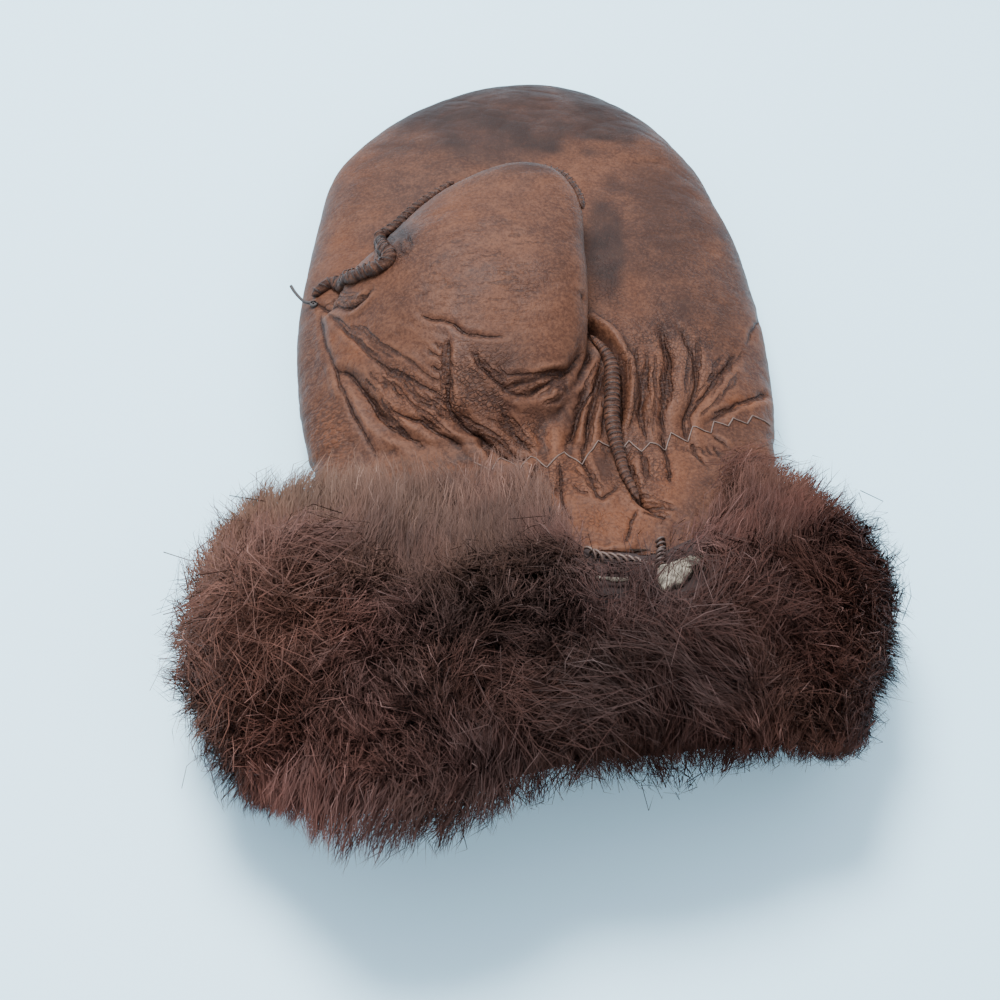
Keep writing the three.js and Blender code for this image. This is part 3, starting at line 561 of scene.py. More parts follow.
# How crazed the leather's grain is: middle and half sizes in the picture, and the strength. lines
# are the long fine creases across the thumb, and side the short wrinkles of the left side.
GRAIN_ZONES = {
    "crazed": [
        (480, 370, 50, 42, 0.9),
        (440, 400, 42, 45, 0.8),
        (520, 430, 42, 30, 0.8),
        (655, 375, 45, 60, 0.9),
        (705, 360, 36, 44, 0.7),
        (390, 390, 40, 34, 0.8),
        (560, 480, 50, 30, 0.8),
        (640, 480, 40, 40, 0.6),
        (398, 243, 22, 26, 0.9),
        (606, 290, 22, 50, 0.8),
        (345, 300, 30, 14, 0.7),
        (640, 450, 90, 60, 0.6),
        (600, 535, 60, 40, 0.6),
        (690, 290, 70, 90, 0.4),
    ],
    "lines": [(490, 265, 95, 70, 1.0), (380, 200, 50, 60, 0.5), (680, 230, 60, 90, 0.5)],
    "side": [(330, 432, 28, 50, 1.0), (312, 355, 16, 60, 0.4)],
}


def run_of(points, path):
    """Signed distance from a path in the ground plane, and the share of its length run."""
    starts, steps = path[:-1], np.diff(path, axis=0)
    lengths = np.linalg.norm(steps, axis=1)
    before = np.concatenate([[0], np.cumsum(lengths)])[:-1]
    away = points[:, None, :] - starts[None]
    share = np.clip((away * steps).sum(-1) / (lengths**2), 0, 1)
    offset = away - share[..., None] * steps
    nearest = np.argmin((offset**2).sum(-1), axis=1)
    rows = np.arange(len(points))
    gap = offset[rows, nearest]
    side = steps[nearest, 0] * gap[:, 1] - steps[nearest, 1] * gap[:, 0]
    distance = np.linalg.norm(gap, axis=1)
    run = (before[nearest] + share[rows, nearest] * lengths[nearest]) / lengths.sum()
    return np.where(side > 0, -distance, distance), run


FAR_CREASE = 9.0  # distance in mm that stands for no crease nearby


@functools.cache
def creases():
    """The creases with their paths over the ground plane, and the fine ones of each bundle."""
    draw = np.random.default_rng(8)
    named = [(*facts, smooth_path(seen(run)[:, :2], 1.5)) for *facts, run in CREASES]
    fine = []
    for start, end, number, spread, depth in BUNDLES:
        start, end = np.array(start, float), np.array(end, float)
        across = np.array([start[1] - end[1], end[0] - start[0]]) / np.hypot(*(end - start))
        for _ in range(number):
            low = draw.uniform(0, 0.6)
            shares = np.linspace(low, min(low + draw.uniform(0.2, 0.5), 1), 4)[:, None]
            aside = draw.normal(0, spread) + draw.normal(0, 0.2 * spread, 4)
            run = lerp(start, end, shares) + across * aside[:, None]
            path = smooth_path(seen(run)[:, :2], 1.5)
            fine.append((FINE_CREASE, depth * draw.uniform(0.6, 1.3), 0, 0.06, path))
    return named + fine


def creases_at(points, scale):
    """Height of the creases over points of the smooth leather, with the distance from the nearest
    crease's bottom in mm, and how strong that crease is."""
    total = np.zeros(len(points))
    nearest, strength = np.full(len(points), FAR_CREASE), np.zeros(len(points))
    wander = vector_noise(points, 6, 1, 2) * 0.5 + vector_noise(points, 2.0, 3, 2) * 0.24
    flat = points[:, :2] + wander
    for seed, (width, depth, lip, rise, path) in enumerate(creases()):
        reach = 4.5 * width
        low, high = path.min(0) - reach, path.max(0) + reach
        near = np.flatnonzero(((flat > low) & (flat < high)).all(axis=1))
        if not len(near):
            continue
        side, share = run_of(flat[near], path)
        fade = smoothstep(share, -0.12, 0.14) * (1 - smoothstep(share, 0.84, 1.1))
        fade = fade * (1 + 0.35 * noise(points[near], 7, 20 + seed))
        if depth < 0:
            total[near] -= depth * np.maximum(1 - (side / width) ** 2, 0) ** 0.7 * fade
            continue
        sharp = np.exp(-((np.abs(side) / (0.75 * width)) ** 1.2))
        broad = np.exp(-((side / (1.7 * width)) ** 2))
        profile = -depth * (0.55 * sharp + 0.3 * broad) * (0.35 if width == FINE_CREASE else 1)
        for hand in (-1, 1) if lip == 0 else (lip,):
            lips = (side - hand * 2.4 * width) / (1.5 * width)
            profile = profile + rise * np.exp(-lips * lips)
        total[near] += profile * fade
        closer = np.abs(side) < nearest[near]
        chosen = near[closer]
        nearest[chosen] = np.abs(side[closer])
        strength[chosen] = np.clip(fade[closer], 0, 1) * lerp(0.45, 1.0, min(depth / 1.4, 1))
    return total * scale, nearest, strength


def wrinkle_height(points):
    """Height of the fine wrinkles over points of the smooth leather."""
    total = np.zeros(len(points))
    for seed, (x, y, half_x, half_y, turn, spacing, height, stretch) in enumerate(WRINKLES):
        inside = 1 - smoothstep(
            np.hypot((points[:, 0] - x) / half_x, (points[:, 1] - y) / half_y), 0.55, 1.1
        )
        near = np.flatnonzero(inside > 0)
        angle = math.radians(turn)
        along = points[near, 0] * math.cos(angle) + points[near, 1] * math.sin(angle)
        across = points[near, 1] * math.cos(angle) - points[near, 0] * math.sin(angle)
        place = np.stack([along / stretch, across, points[near, 2]], axis=1)
        bent = place + 0.35 * spacing * vector_noise(place, spacing * 1.7, 40 + seed)
        lines = ridged(bent, spacing, 60 + seed) ** 3
        fine = ridged(bent, spacing * 0.45, 80 + seed) ** 3
        total[near] -= inside[near] * height * (1.5 * lines + 0.7 * fine - 0.8)
    return total


def divided(points, quads):
    """Each quad as four, with the new points on smooth curves between the old ones."""
    pairs = edge_pairs(quads)
    count = len(points)
    mean = neighbour_mean(points, pairs, count)
    normals = vertex_normals(points, quads)
    middle = points[pairs].mean(axis=1)
    bend = ((mean - points) * normals).sum(axis=1)
    middle -= normals[pairs].mean(axis=1) * (0.4 * bend[pairs].mean(axis=1))[:, None]
    centre = points[quads].mean(axis=1)
    centre -= normals[quads].mean(axis=1) * (0.75 * bend[quads].mean(axis=1))[:, None]
    key = pairs[:, 0].astype(np.int64) * count + pairs[:, 1]
    sides = []
    for k in range(4):
        ends = np.sort(quads[:, [k, (k + 1) % 4]], axis=1).astype(np.int64)
        sides.append(count + np.searchsorted(key, ends[:, 0] * count + ends[:, 1]))
    core = count + len(pairs) + np.arange(len(quads))
    fine = [
        np.stack([quads[:, k], sides[k], core, sides[(k + 3) % 4]], axis=1) for k in range(4)
    ]
    return np.concatenate([points, middle, centre]), np.concatenate(fine)


def panel_of(centres):
    """Which panel each face belongs to: 0 back, 1 palm, 2 thumb."""
    x, y, z = centres.T
    flat = unskewed(x, y)
    edge = np.interp(flat, HAND_PLACES, HAND_DENSE[:, 4]) * HAND_THICKNESS
    left_line = LEFT_SEAM * [HAND_WIDTH / 2, THUMB_LENGTH]
    left_x = np.interp(y, left_line[:, 1], left_line[:, 0])
    left_x = np.where(y > left_line[-1, 1], -999, left_x)
    back = (z < edge) | (x < left_x)
    wrist = WRIST_SEAM * [THUMB_WIDTH / 2, THUMB_LENGTH] + [THUMB_X, 0]
    palm = PALM_SEAM[:5] * [THUMB_WIDTH / 2, THUMB_LENGTH] + [THUMB_X, 0]
    right_x = np.interp(y, wrist[::-1, 1], wrist[::-1, 0])
    top_y = np.interp(x, palm[:, 0], palm[:, 1])
    ball = (x < right_x) & (y < np.minimum(top_y, wrist[0, 1]))
    ball |= (x < palm[-1, 0]) & (y < top_y)
    field = thumb_field(x, y, z)
    on_thumb = (np.abs(field) < 0.09) & (y > THUMB_PLACES[0]) & (z > HAND_THICKNESS * 0.85)
    return np.where(back, 0, np.where(ball | on_thumb, 2, 1))


@functools.cache
def plain_surface():
    """The leather's outer face before its creases."""
    field, corner = leather_grid()
    points, quads = surface_nets(field, corner, VOXEL)
    pairs = edge_pairs(quads)
    for _ in range(2):
        points = lerp(points, neighbour_mean(points, pairs, len(points)), 0.6)
    return points, quads


# Round the sewn wrist: number of gathers, and how far up the hand and how deep in mm they and the
# pucker at the very edge go
GATHERS, GATHER_REACH, GATHER_DEPTH = 14, 12, 0.35
PUCKER_REACH, PUCKER_DEPTH = 2.2, 0.5
# Swellings of the whole leather: size in mm, seed and share of their height in mm
SWELLINGS, SWELL_HEIGHT = ((26, 7, 0.9), (12, 8, 0.5)), 0.4
# How much the leather is smoothed when it is divided, and once its creases are in
SMOOTHED_FIRST, SMOOTHED_LAST = 0.5, 0.2


@functools.cache
def leather_surface(under=False):
    """Points, quads, normals and the painted values of the leather: the fine side that faces up,
    or the coarse side that it lies on."""
    points, quads = plain_surface()
    low = vertex_normals(points, quads)[quads, 2].mean(axis=1) < -0.35
    if under:
        quads = quads[low]
    else:
        points, quads = divided(points, quads[~low])
    used, quads = used_only(quads, len(points))
    points = points[used]
    pairs = edge_pairs(quads)
    if not under:
        points = lerp(points, neighbour_mean(points, pairs, len(points)), SMOOTHED_FIRST)
    normals = vertex_normals(points, quads)
    settings = bpy.context.scene.mitten
    count = len(points)
    up = smoothstep(normals[:, 2], 0.05, 0.5)
    flat = unskewed(points[:, 0], points[:, 1])
    folds, crease, strength = np.zeros(count), np.full(count, FAR_CREASE), np.zeros(count)
    high = np.flatnonzero(up > 0)
    if len(high):
        height, crease[high], mask = creases_at(points[high], settings.crease_depth)
        folds[high] = height * up[high]
        strength[high] = mask * up[high]
    off_ground = smoothstep(points[:, 2], 1.0, 7.0)
    around = np.arctan2(points[:, 2] - 14, points[:, 0])
    gathers = np.cos(GATHERS * around + 2 * noise(points, 20, 5))
    gathers *= np.exp(-((flat / GATHER_REACH) ** 2))
    puckers = np.exp(-((flat / PUCKER_REACH) ** 2))
    swell = sum(share * noise(points, size, seed) for size, seed, share in SWELLINGS)
    total = folds + (wrinkle_height(points) * settings.wrinkle_depth) * off_ground
    total += off_ground * (
        GATHER_DEPTH * gathers - PUCKER_DEPTH * puckers + SWELL_HEIGHT * swell
    )
    before = points
    points = points + normals * total[:, None]
    points[:, 2] = np.maximum(points[:, 2], 0)
    points = lerp(points, neighbour_mean(points, pairs, count), SMOOTHED_LAST)
    normals = vertex_normals(points, quads)
    return {
        "points": points,
        "quads": quads,
        "normals": normals,
        "smooth": before,
        "flat": flat,
        "crease": crease,
        "crease_mask": strength,
        **painted(points, normals, pairs),
    }


# Stains, worn places and painted shade: middle and half sizes in the picture, and the strength. The
# first list is blue-black dirt together with painted shade, the second the orange of rubbed
# leather.
STAINS_AND_SHADE = {
    "dirt_and_shade": [
        (590, 112, 95, 46, 1.0),
        (480, 120, 170, 56, 1.0),
        # painted shadow beside the thumb's rolled edge
        (606, 245, 24, 75, 0.75),
        (665, 230, 80, 110, 0.7),
        (735, 290, 30, 80, 0.4),
        (695, 335, 44, 50, 0.35),
        (400, 185, 55, 50, 0.35),
        (397, 238, 22, 24, 0.85),
        (502, 365, 48, 42, 0.55),
        # painted shade in the valleys of the flap below the thumb
        (572, 400, 40, 50, 0.55),
        (612, 400, 18, 60, 0.6),
        (604, 465, 24, 26, 0.7),
        (560, 250, 24, 60, 0.3),
        (304, 370, 14, 70, 0.25),
        (470, 435, 40, 22, 0.45),
        (740, 440, 40, 30, 0.3),
    ],
    "warm": [
        (352, 342, 32, 32, 0.9),
        (350, 255, 28, 26, 0.7),
        (400, 400, 50, 34, 0.5),
        (455, 220, 46, 30, 0.5),
        (620, 520, 55, 34, 1.0),
        (668, 480, 32, 40, 0.9),
        (545, 505, 44, 24, 0.7),
        (745, 402, 32, 9, 1.0),
        (548, 436, 24, 20, 0.8),
        (655, 385, 30, 40, 0.35),
        (332, 445, 22, 44, 0.8),
        (630, 300, 30, 40, 0.35),
        (370, 150, 60, 40, 0.3),
        (578, 478, 20, 26, 0.5),
    ],
}


# Hollows, fine and broad: rounds of smoothing that find them, their full depth in mm and strength.
# The finish paints shade into the hollows and a highlight onto the ridges.
CAVITIES = ((3, 0.08, 0.4), (22, 0.4, 0.75))


def painted(points, normals, pairs):
    """What the finish needs to know at each point."""
    count = len(points)
    cavity = np.zeros(count)
    for rounds, full, strength in CAVITIES:
        smooth = points
        for _ in range(rounds):
            smooth = neighbour_mean(smooth, pairs, count)
        hollow = ((smooth - points) * normals).sum(axis=1)
        cavity += np.clip(hollow / full, -1, 1) * strength
    values = {"cavity": np.clip(cavity, -1, 1)}
    facing = smoothstep(normals[:, 2], -0.5, 0.0)
    place = picture_of(points)
    rough = 0.22 * noise(points, 14, 30) + 0.16 * noise(points, 5, 31)
    for name, places in {**STAINS_AND_SHADE, **GRAIN_ZONES}.items():
        total = np.zeros(count)
        for x, y, half_x, half_y, strength in places:
            far = np.hypot((place[:, 0] - x) / half_x, (place[:, 1] - y) / half_y)
            total += strength * (1 - smoothstep(far + rough, 0.3, 1.15))
        values[name] = np.clip(total, 0, 1) * (facing if name in GRAIN_ZONES else 1)
    return values


BACK_OFFSET = 1.469  # mm from the middle of back_panel's box to the maker's x = 0


@functools.cache
def reference():
    """Where the maker's frame lies in the part's frame, in mm."""
    back_low, back_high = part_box("back_panel")
    palm_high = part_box("palm_panel")[1]
    middle = (back_low.x + back_high.x) / 2 / MM
    return np.array([middle + BACK_OFFSET, palm_high.y / MM - HAND_LENGTH, 0.0])


def placed(points):
    """Points of the maker's frame in mm as points of the part's frame in m."""
    return (np.asarray(points) + reference()) * MM


def linked(name, data):
    """A new object in the scene."""
    made = bpy.data.objects.new(name, data)
    bpy.context.scene.collection.objects.link(made)
    return made


def mesh_object(name, points, faces, material, values=None, normals=None):
    """A piece from arrays. Faces is one array, or several of different sizes."""
    groups = faces if isinstance(faces, list) else [faces]
    points = np.maximum(points, (-np.inf, -np.inf, 0))  # nothing reaches through the floor
    mesh = bpy.data.meshes.new(name)
    sizes = np.concatenate([np.full(len(group), group.shape[1]) for group in groups])
    corners = np.concatenate([group.ravel() for group in groups]).astype(np.int32)
    mesh.vertices.add(len(points))
    mesh.vertices.foreach_set("co", placed(points).astype(np.float32).ravel())
    mesh.loops.add(len(corners))
    mesh.loops.foreach_set("vertex_index", corners)
    mesh.polygons.add(len(sizes))
    starts = np.concatenate([[0], np.cumsum(sizes)[:-1]]).astype(np.int32)
    mesh.polygons.foreach_set("loop_start", starts)
    mesh.materials.append(material)
    mesh.update(calc_edges=True)
    mesh.validate()
    mesh.polygons.foreach_set("use_smooth", np.ones(len(mesh.polygons), bool))
    for key, value in (values or {}).items():
        kind = "FLOAT" if value.ndim == 1 else "FLOAT_COLOR"
        attribute = mesh.attributes.new(key, kind, "POINT")
        field = "value" if value.ndim == 1 else "color"
        attribute.data.foreach_set(field, value.astype(np.float32).ravel())
    if normals is not None:
        mesh.normals_split_custom_set_from_vertices(normals.astype(np.float32))
    return linked(name, mesh)


def part_of(surface, chosen):
    """The points, quads and values of the chosen faces."""
    used, quads = used_only(surface["quads"][chosen], len(surface["points"]))
    names = ("cavity", "crease", "crease_mask", *STAINS_AND_SHADE, *GRAIN_ZONES)
    values = {key: surface[key][used] for key in names}
    return surface["points"][used], quads, values, surface["normals"][used]


class Finish:
    """A material under construction, with short calls for its nodes."""

    def __init__(self, name):
        self.material = bpy.data.materials.new(name)
        self.material.use_nodes = True
        self.tree = self.material.node_tree
        self.shader = self.tree.nodes["Principled BSDF"]
        self.place = self.add("ShaderNodeTexCoord").outputs["Object"]

    def add(self, kind, **facts):
        """A new node with its own settings."""
        node = self.tree.nodes.new(kind)
        for key, value in facts.items():
            setattr(node, key, value)
        return node

    def join(self, source, socket):
        """Links a socket, or sets the value of one."""
        if hasattr(source, "is_output"):
            self.tree.links.new(source, socket)
        else:
            socket.default_value = source

    def set(self, **sockets):
        """Inputs of the surface shader, by their names."""
        for name, source in sockets.items():
            self.join(source, self.shader.inputs[name.replace("_", " ")])

    def painted(self, name, color=False):
        """A value stored on the mesh."""
        node = self.add("ShaderNodeAttribute", attribute_name=name)
        return node.outputs["Color" if color else "Fac"]

    def math(self, operation, *values, clamp=False):
        """Maths on sockets or numbers."""
        node = self.add("ShaderNodeMath", operation=operation, use_clamp=clamp)
        for value, socket in zip(values, node.inputs):
            self.join(value, socket)
        return node.outputs[0]

    def ramp(self, value, low, high, out_low=0.0, out_high=1.0):
        """A smooth change of range, clamped at both ends."""
        node = self.add("ShaderNodeMapRange", interpolation_type="SMOOTHSTEP")
        self.join(value, node.inputs["Value"])
        limits = {"From Min": low, "From Max": high, "To Min": out_low, "To Max": out_high}
        for name, number in limits.items():
            self.join(number, node.inputs[name])
        return node.outputs["Result"]

    def mix(self, share, a, b):
        """The colour a share of the way from a to b."""
        node = self.add("ShaderNodeMix", data_type="RGBA")
        for value, socket in ((share, 0), (a, 6), (b, 7)):
            self.join(value, node.inputs[socket])
        return node.outputs[2]

    def moved(self, operation, *values):
        """A place changed by vector maths."""
        node = self.add("ShaderNodeVectorMath", operation=operation)
        for value, socket in zip(values, node.inputs):
            self.join(value, socket)
        return node.outputs[0]

    def noise(self, scale, detail=4.0, rough=0.55, place=None, warp=0.0):
        """Noise from 0 to 1, scale its steps in a metre."""
        node = self.add("ShaderNodeTexNoise")
        node.inputs["Scale"].default_value = scale
        node.inputs["Detail"].default_value = detail
        node.inputs["Roughness"].default_value = rough
        node.inputs["Distortion"].default_value = warp
        self.join(place or self.place, node.inputs["Vector"])
        return node.outputs["Fac"]

    def cells(self, scale, feature="F1", place=None):
        """Distances within cells, scale their number in a metre."""
        node = self.add("ShaderNodeTexVoronoi", feature=feature)
        node.inputs["Scale"].default_value = scale
        self.join(place or self.place, node.inputs["Vector"])
        return node.outputs["Distance"]

    def bump(self, height, distance, strength=1.0, before=None):
        """Relief, distance in mm, on top of the relief before it."""
        node = self.add("ShaderNodeBump")
        node.inputs["Strength"].default_value = strength
        node.inputs["Distance"].default_value = distance * MM
        self.join(height, node.inputs["Height"])
        if before is not None:
            self.join(before, node.inputs["Normal"])
        return node.outputs["Normal"]


def leather_finish(settings):
    """Brown glove leather: dirt and painted shade in its creases, a painted highlight on its
    ridges, worn orange at the wrist, dirt and painted shade at the tips.
    """
    made = Finish("worn_leather_painted_shade")
    names = ("leather_shade", "leather_rubbed_and_highlight", "leather_warm", "leather_dirt_and_shade", "crease_dirt_and_shade_colour")
    shade, rubbed_and_highlight, worn, dirt_and_shade_colour, dark = (tuple(getattr(settings, name)) for name in names)
    cavity = made.painted("cavity")
    mottle = made.noise(55, 5, 0.6, warp=0.4)
    blotch = made.noise(190, 5, 0.65)
    fine = made.noise(1300, 4, 0.7)
    base = made.mix(made.ramp(mottle, 0.35, 0.68), shade, tuple(settings.leather_colour))
    base = made.mix(made.ramp(blotch, 0.42, 0.7, 0, 0.4), base, rubbed_and_highlight)
    warm_share = made.math("MULTIPLY", made.painted("warm"), made.ramp(mottle, 0.3, 0.6, 0.35, 0.9))
    base = made.mix(warm_share, base, worn)
    # blue-black dirt together with painted shade, where the first stains table puts it
    patches = made.ramp(mottle, 0.34, 0.6, 0.6, 0.93)
    dirt_and_shade_share = made.math("MULTIPLY", made.painted("dirt_and_shade"), patches)
    base = made.mix(dirt_and_shade_share, base, dirt_and_shade_colour)
    # partly wear, partly a painted highlight: lighter on the ridges that the cavity value finds
    base = made.mix(made.ramp(cavity, -0.1, -0.9, 0, 0.5), base, rubbed_and_highlight)
    # dirt and painted shade: darker in the hollows that the cavity value finds
    base = made.mix(made.ramp(cavity, 0.05, 0.9, 0, 0.8), base, dark)

    # painted shade: a thin dark line in the bottom of every crease, which wanders by up to 0.28 mm
    wander = made.math("MULTIPLY_ADD", made.noise(900, 4, 0.7), 0.56, -0.28)
    away = made.math("ADD", made.painted("crease"), wander)
    line = made.math("MULTIPLY", made.ramp(away, 0.1, 0.38, 1, 0), made.painted("crease_mask"))
    base = made.mix(made.math("MULTIPLY", line, 0.9, clamp=True), base, dark)

    # crazed grain, long fine creases across the thumb, and short ones on the left side
    shove = made.add("ShaderNodeTexNoise")
    shove.inputs["Scale"].default_value = 500
    made.join(made.place, shove.inputs["Vector"])
    warped = made.moved("MULTIPLY_ADD", shove.outputs["Color"], (0.0013,) * 3, made.place)
    cells = made.cells(950, "DISTANCE_TO_EDGE", warped)
    patchy = made.ramp(made.noise(140, 4, 0.7), 0.36, 0.56)
    craze = made.math("MULTIPLY", made.ramp(cells, 0.02, 0.22, 1, 0), patchy)
    craze = made.math("MULTIPLY", craze, made.painted("crazed"))
    lines = made.noise(640, 3, 0.6, made.moved("MULTIPLY", warped, (0.22, 1.0, 1.0)))
    streak = made.math("MULTIPLY", made.ramp(lines, 0.52, 0.64), made.painted("lines"))
    pleats = made.cells(1300, "F1", made.moved("MULTIPLY", warped, (0.45, 1.0, 0.45)))
    pleat = made.math("MULTIPLY", made.ramp(pleats, 0.3, 0.66), made.painted("side"))
    marks = made.math("MULTIPLY", craze, 0.8)
    for mark, strength in ((streak, 0.55), (pleat, 0.6)):
        marks = made.math("MAXIMUM", marks, made.math("MULTIPLY", mark, strength))
    base = made.mix(marks, base, dark)
    clean = made.ramp(dirt_and_shade_share, 0.1, 0.9, 0.4, 0.08)
    speckle = made.math("MULTIPLY", made.ramp(fine, 0.42, 0.66), clean)
    base = made.mix(speckle, base, rubbed_and_highlight)
    base = made.mix(made.ramp(fine, 0.5, 0.34, 0, 0.6), base, shade)

    normal = made.bump(made.ramp(made.cells(1700), 0.0, 0.5), 0.05, 0.7)
    normal = made.bump(fine, 0.12, 0.8, normal)
    normal = made.bump(made.math("MULTIPLY", marks, -1.0), 0.2, 0.9, normal)
    normal = made.bump(made.math("MULTIPLY", line, -1.0), 0.4, 1.0, normal)
    normal = made.bump(made.noise(260, 5, 0.6, warp=0.8), 0.32, 0.7, normal)
    made.set(Base_Color=base, Normal=normal, Roughness=made.ramp(mottle, 0.3, 0.7, 0.48, 0.62))
    made.set(Specular_IOR_Level=0.13)
    return made.material


def plain_finish(name, color, roughness, grain=300, height=0.1):
    """A dull finish with a little mottling. grain is its scale, height its relief in mm."""
    made = Finish(name)
    tone = made.noise(grain, 4)
    dark = tuple(channel * 0.7 for channel in color[:3]) + (1,)
    base = made.mix(made.ramp(tone, 0.3, 0.7), dark, tuple(color))
    made.set(Base_Color=base, Roughness=roughness, Normal=made.bump(tone, height))
    return made.material


def add_leather_panels(settings):
    """The three panels, and the coarser side of the back that the mitten lies on."""
    finish = leather_finish(settings)
    surface, under = leather_surface(), leather_surface(True)
    panel = panel_of(surface["smooth"][surface["quads"]].mean(axis=1))
    pieces = [
        (f"{name}_leather", f"{name}_panel", surface, panel == number)
        for number, name in enumerate(("back", "palm", "thumb"))
    ]
    pieces.append(("under_leather", "back_panel", under, np.ones(len(under["quads"]), bool)))
    for name, node, side, chosen in pieces:
        kept = side["flat"][side["quads"]].min(axis=1) > -GAUNTLET_LENGTH - 1
        points, faces, values, normals = part_of(side, kept & chosen)
        leather = mesh_object(name, points, faces, finish, values, normals)
        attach(leather, "root")
        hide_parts(node)


# The lining keeps clear of the creases at each of its points and beside it, in mm
LINING_SHIFTS = ((0, 0), (1.2, 0), (-1.2, 0), (0, 1.2), (0, -1.2))
LINING_GAP = 0.3


def add_lining(settings):
    """The inside of the leather, down to its hem."""
    field, corner = form_field(LINING_VOXEL)
    points, quads = surface_nets(field + LEATHER_WALL, corner, LINING_VOXEL)
    flat = unskewed(points[:, 0], points[:, 1])
    quads = quads[flat[quads].min(axis=1) > -GAUNTLET_LENGTH - 1][:, ::-1]
    used, quads = used_only(quads, len(points))
    points = points[used]
    ring = np.concatenate([quads[:, [k, (k + 1) % 4]] for k in range(4)])
    key = np.sort(ring, axis=1)
    _, first, seen_times = np.unique(key, axis=0, return_index=True, return_counts=True)
    open_edges = ring[first[seen_times == 1]]
    rim = np.unique(open_edges)
    outward = -vertex_normals(points, quads)
    moved = points[rim] + outward[rim] * LEATHER_WALL
    hem = np.full(len(points), -1)
    hem[rim] = len(points) + np.arange(len(rim))
    strip = np.stack(
        [open_edges[:, 1], open_edges[:, 0], hem[open_edges[:, 0]], hem[open_edges[:, 1]]], axis=1
    )
    facing = -vertex_normals(points, quads)
    for shift in LINING_SHIFTS:
        height = creases_at(points + [*shift, 0], settings.crease_depth)[0]
        deeper = np.minimum(height, 0) if shift == (0, 0) else np.minimum(height, deeper)
    points[:, 2] += deeper * smoothstep(facing[:, 2], 0.0, 0.4)
    points[:, 2] -= LINING_GAP * (facing[:, 2] > 0.3)
    points = np.concatenate([points, moved])
    finish = plain_finish("lining", settings.lining_colour, 0.9)
    lining = mesh_object("lining", points, np.concatenate([quads, strip]), finish)
    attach(lining, "root")


# The fur in mm: depth of the pile, the band that it grows on, and the strip's thickness inside the
# mouth
PILE = 21.0
CUFF_BAND = 27.0
MOUTH_LINING = 2.6
# How far its tips reach up the hand, and past the mouth above and below, as shares of the pile, and
# how much further past the mouth at the thumb's side
FUR_UP_HAND = 1.28
FUR_PAST_MOUTH = 1.45
FUR_BELOW_MOUTH = 0.4
FUR_AT_THUMB_SIDE = 1.32
# What is left of the pile's depth on top and at the right
TOP_FLATTEN = 0.78
RIGHT_FLATTEN = 0.72
# The parting above the wrist seam: middle, half width, and share of the depth that it takes
PARTING_ACROSS, PARTING_SPREAD, PARTING_DEPTH = 0.34, 0.34, 0.85
# along from the fur's tips on the hand to its tips past the mouth, and the depth
FUR_SECTIONS = np.array(
    [
        (0, 0.04), (0.07, 0.32), (0.18, 0.6), (0.36, 0.82),
        (0.56, 0.88), (0.76, 0.7), (0.9, 0.4), (1, 0.1),
    ]
)
FUR_DENSE = catmull_rom(FUR_SECTIONS, np.linspace(0, len(FUR_SECTIONS) - 1, 300))
MOUTH_Y = -GAUNTLET_LENGTH - CUFF_BAND
# The three nodes along a hair, its width at the first two, and how many hairs a tuft has
HAIR_NODES = (0.0, 0.55, 1.0)
HAIR_WIDTHS = (1.0, 0.85)
TUFT_HAIRS = 55
# The cuff's pieces of hair, with where they start and end round the wrist in degrees
FUR_PIECES = {"left": (125, 215), "top": (55, 125), "right": (0, 55), "under": (215, 360)}
# Size in mm, seed and share of the swirls in the pile
SWIRLS = ((26, 11, 1.1), (8, 15, 0.85), (3, 21, 0.2))
# Share of the hairs left out underneath, where the cuff lies on the floor, and at the parting
THINNED_UNDER, THINNED_AT_PARTING = 0.86, 0.8
# How far the hairs of a tuft draw to its middle, as shares of the way
TUFT_PULL = (0.05, 0.72)
# Visible part of a hair: share of its length, and least and most in mm
HAIR_SHOWN, HAIR_LEAST, HAIR_MOST = 0.65, 6, 13
# Strength of the swirls and of the scatter, outside the felted middle of the pile and in it
SWIRL_STRENGTH, SCATTER = (0.5, 1.0), (0.13, 0.27)
# Share of its outward run that a felted hair loses, and how much a hair bows, in mm
LAID_FLAT, BOW_OUT = 0.55, 0.8
# Hairs above the first height, in mm, are pressed down into a layer as deep as the second
PILE_TOP, PILE_GIVE = 50.0, 10.0
# Share of the way from the root's colour to the tip's at the three nodes of a hair
TINT_SHARES = (0.35, 0.8, 1.0)
# Share of single pale hairs, and how much hairs side by side differ in brightness
PALE_HAIRS, HAIR_SHADES = 0.03, (0.75, 1.25)


def powered(value, power):
    """A power that keeps the sign."""
    return np.sign(value) * np.abs(value) ** power


def wrist_point(y, angle):
    """A point round the wrist: the hand's section, and past the sewn edge that edge's section."""
    held = np.maximum(y, -GAUNTLET_LENGTH)
    half, centre, low, edge, top = (
        np.interp(held, HAND_PLACES, HAND_DENSE[:, k]) for k in range(1, 6)
    )
    x = (centre + half * powered(np.cos(angle), FLANK_POWER)) * HAND_WIDTH / 2
    rise = powered(np.sin(angle), FLANK_POWER)
    height = edge + rise * np.where(rise > 0, top - edge, edge - low)
    z = np.maximum(height * HAND_THICKNESS, 0)
    return np.stack([x, y + skew_at(x, held), z], axis=-1)


def wrist_outward(angle):
    """Outward directions round the wrist's sewn edge."""
    step = 0.02
    around = wrist_point(-GAUNTLET_LENGTH + 0 * angle, angle + step)
    around = around - wrist_point(-GAUNTLET_LENGTH + 0 * angle, angle - step)
    return unit(np.stack([around[..., 2], 0 * angle, -around[..., 0]], axis=-1))


def parting_at(angle):
    """How parted the fur is: 1 above the wrist seam, where the strip's ends meet."""
    across = (powered(np.cos(angle), FLANK_POWER) - PARTING_ACROSS) / PARTING_SPREAD
    return np.exp(-(across**4)) * smoothstep(np.sin(angle), 0, 0.4)


